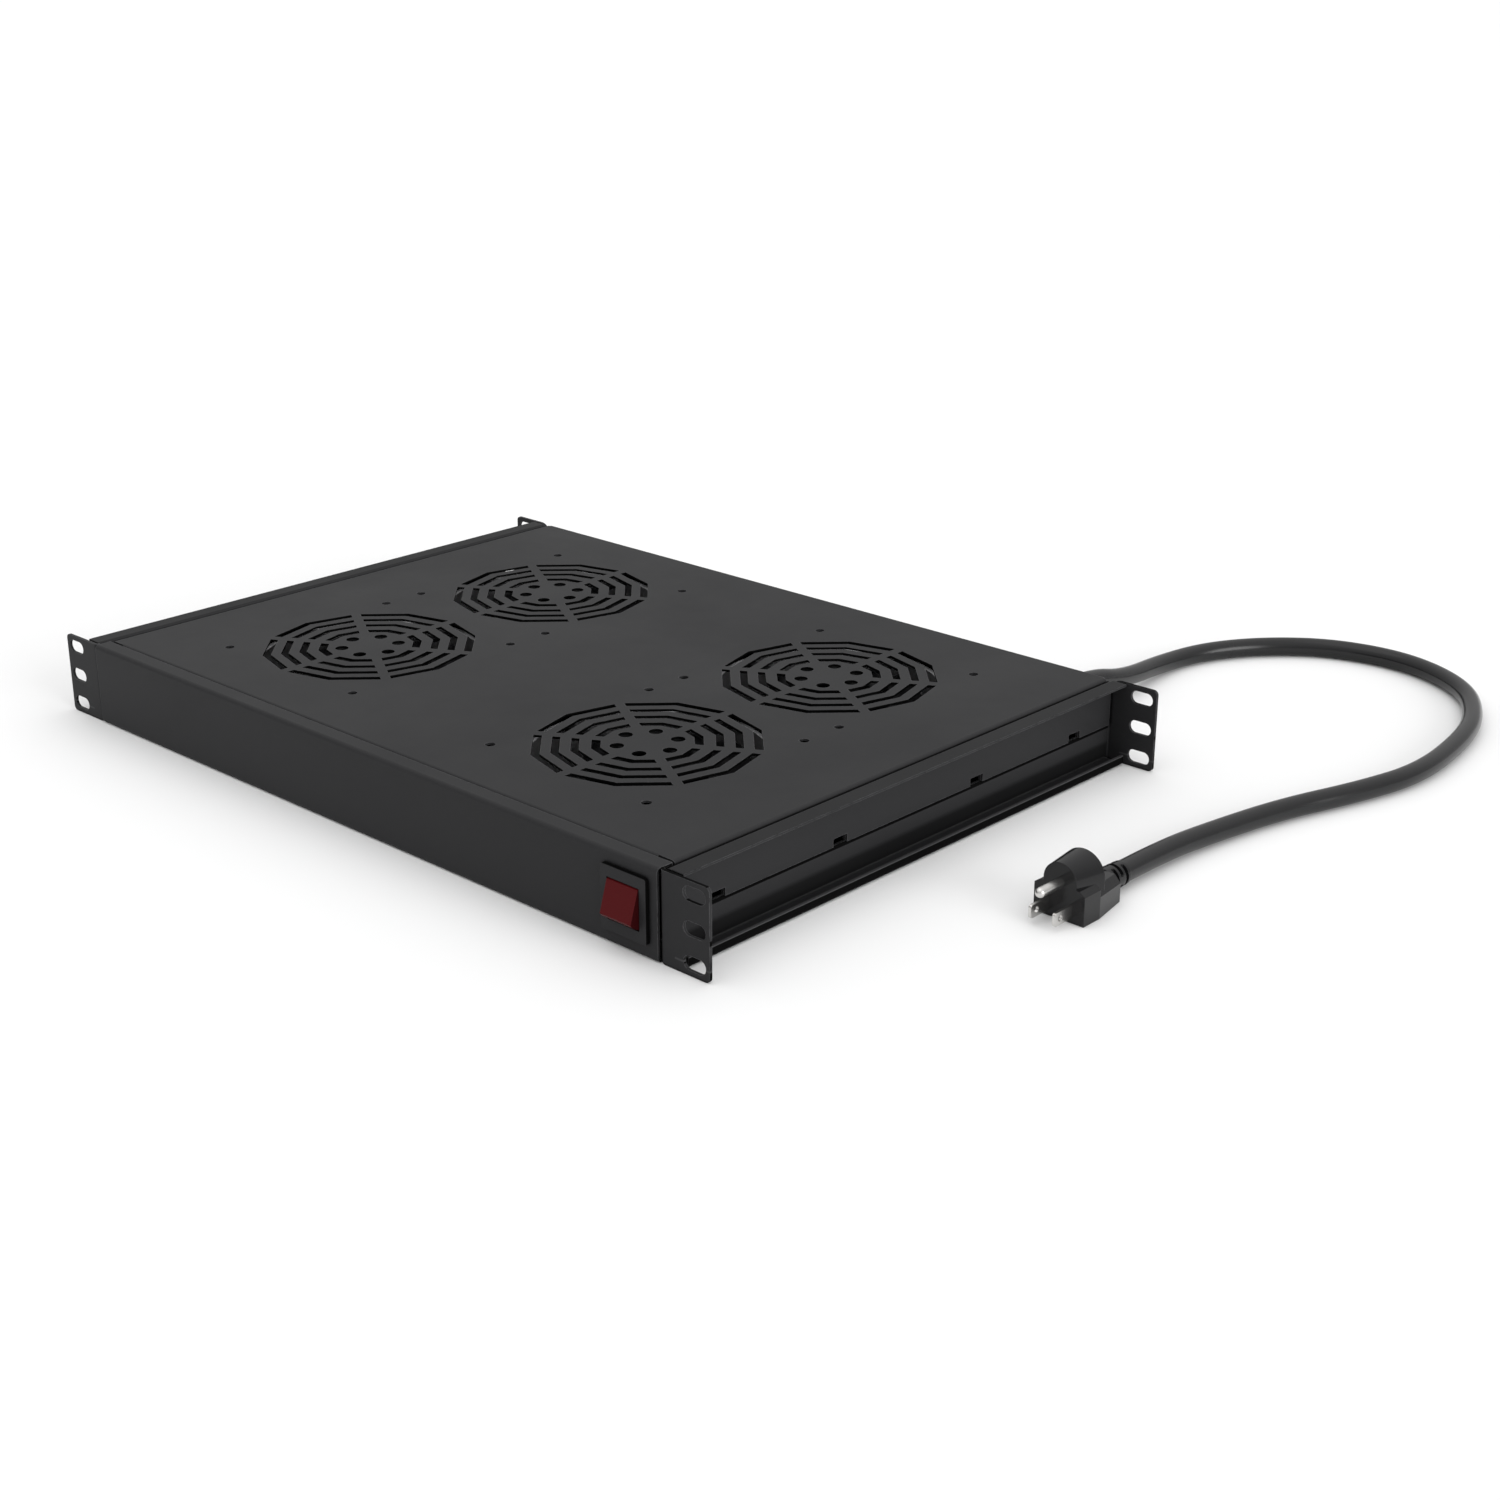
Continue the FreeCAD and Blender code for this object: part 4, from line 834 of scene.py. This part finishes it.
# %% Dress the nodes
slot_of = {part["node"]: part["material_slot"] for part in frame["record"]["subparts"]}
for name, piece in nodes.items():
    piece.data.materials.clear()
    piece.data.materials.append(COATED[name] if name in COATED else FINISHES[slot_of[name]])
cord.data.materials.append(FINISHES["cord_black"])
relief.data.materials.append(FINISHES["plug_black"])
for screws in (lid_screws, fan_screws):
    screws.data.materials.append(FINISHES["zinc_screw"])
print("dressed", len(nodes), "nodes")

# %% [markdown]
# ## Floor and light
# The tray stands on a plain pale floor, which is clear from below. A white room lights it softly
# from all sides, more from overhead than from the horizon. Two suns with very wide discs act as
# soft boxes that light the whole floor evenly: a weak one above, and a low one from the right
# that brings the dark side channel up to the tone of the lid.

# %% Floor
FLOOR_HALF = 40.0
FLOOR_GAP = 0.1 * MM
FLOOR_WHITE = (0.86, 0.86, 0.86)


def flat_floor(half, height):
    """Square of floor, one face that looks up."""
    mesh = bpy.data.meshes.new("floor")
    corners = [(-half, -half, height), (half, -half, height), (half, half, height),
               (-half, half, height)]
    mesh.from_pydata(corners, [], [(0, 1, 2, 3)])
    piece = bpy.data.objects.new("floor", mesh)
    scene.collection.objects.link(piece)
    return piece


def one_way(material, tree, bsdf):
    """Clear from below, so that the underside of the tray can be looked at through the floor."""
    geometry = tree.nodes.new("ShaderNodeNewGeometry")
    clear = tree.nodes.new("ShaderNodeBsdfTransparent")
    choose = tree.nodes.new("ShaderNodeMixShader")
    tree.links.new(geometry.outputs["Backfacing"], choose.inputs[0])
    tree.links.new(bsdf.outputs["BSDF"], choose.inputs[1])
    tree.links.new(clear.outputs["BSDF"], choose.inputs[2])
    tree.links.new(choose.outputs["Shader"], tree.nodes["Material Output"].inputs["Surface"])
    return material


floor = flat_floor(FLOOR_HALF, -FLOOR_GAP)
floor.data.materials.append(one_way(*shader("pale_floor", FLOOR_WHITE, 0.75)))
print("floor", 2 * FLOOR_HALF, "m wide")

# %% Lights


def soft_sun(name, strength, disc_angle, tip):
    """Sun whose wide disc acts as a soft box over the whole floor; all angles in degrees."""
    data = bpy.data.lights.new(name, "SUN")
    data.energy = strength
    data.angle = math.radians(disc_angle)
    lamp = bpy.data.objects.new(name, data)
    scene.collection.objects.link(lamp)
    lamp.rotation_euler = tuple(math.radians(angle) for angle in tip)
    print(name, strength, "W/m2")


soft_sun("light_above", strength=0.25, disc_angle=50.0, tip=(12.0, -10.0, 0.0))
soft_sun("light_right", strength=1.9, disc_angle=36.0, tip=(0.0, 76.0, 0.0))

# %% White room
LOW_SKY, HIGH_SKY = 0.25, 0.85  # heights on a unit sphere, between which it brightens


def white_room(name, horizon, overhead):
    """World that is plain white, dimmer at the horizon than overhead."""
    world = bpy.data.worlds.new(name)
    world.use_nodes = True
    tree = world.node_tree
    background = tree.nodes["Background"]
    background.inputs["Color"].default_value = (1.0, 1.0, 1.0, 1.0)
    height = axis_of(tree, tree.nodes.new("ShaderNodeTexCoord").outputs["Generated"], "Z")
    tree.links.new(spread(tree, height, LOW_SKY, HIGH_SKY, horizon, overhead),
                   background.inputs["Strength"])
    return world


scene.world = white_room("studio", horizon=0.6, overhead=1.2)
print("world", scene.world.name)
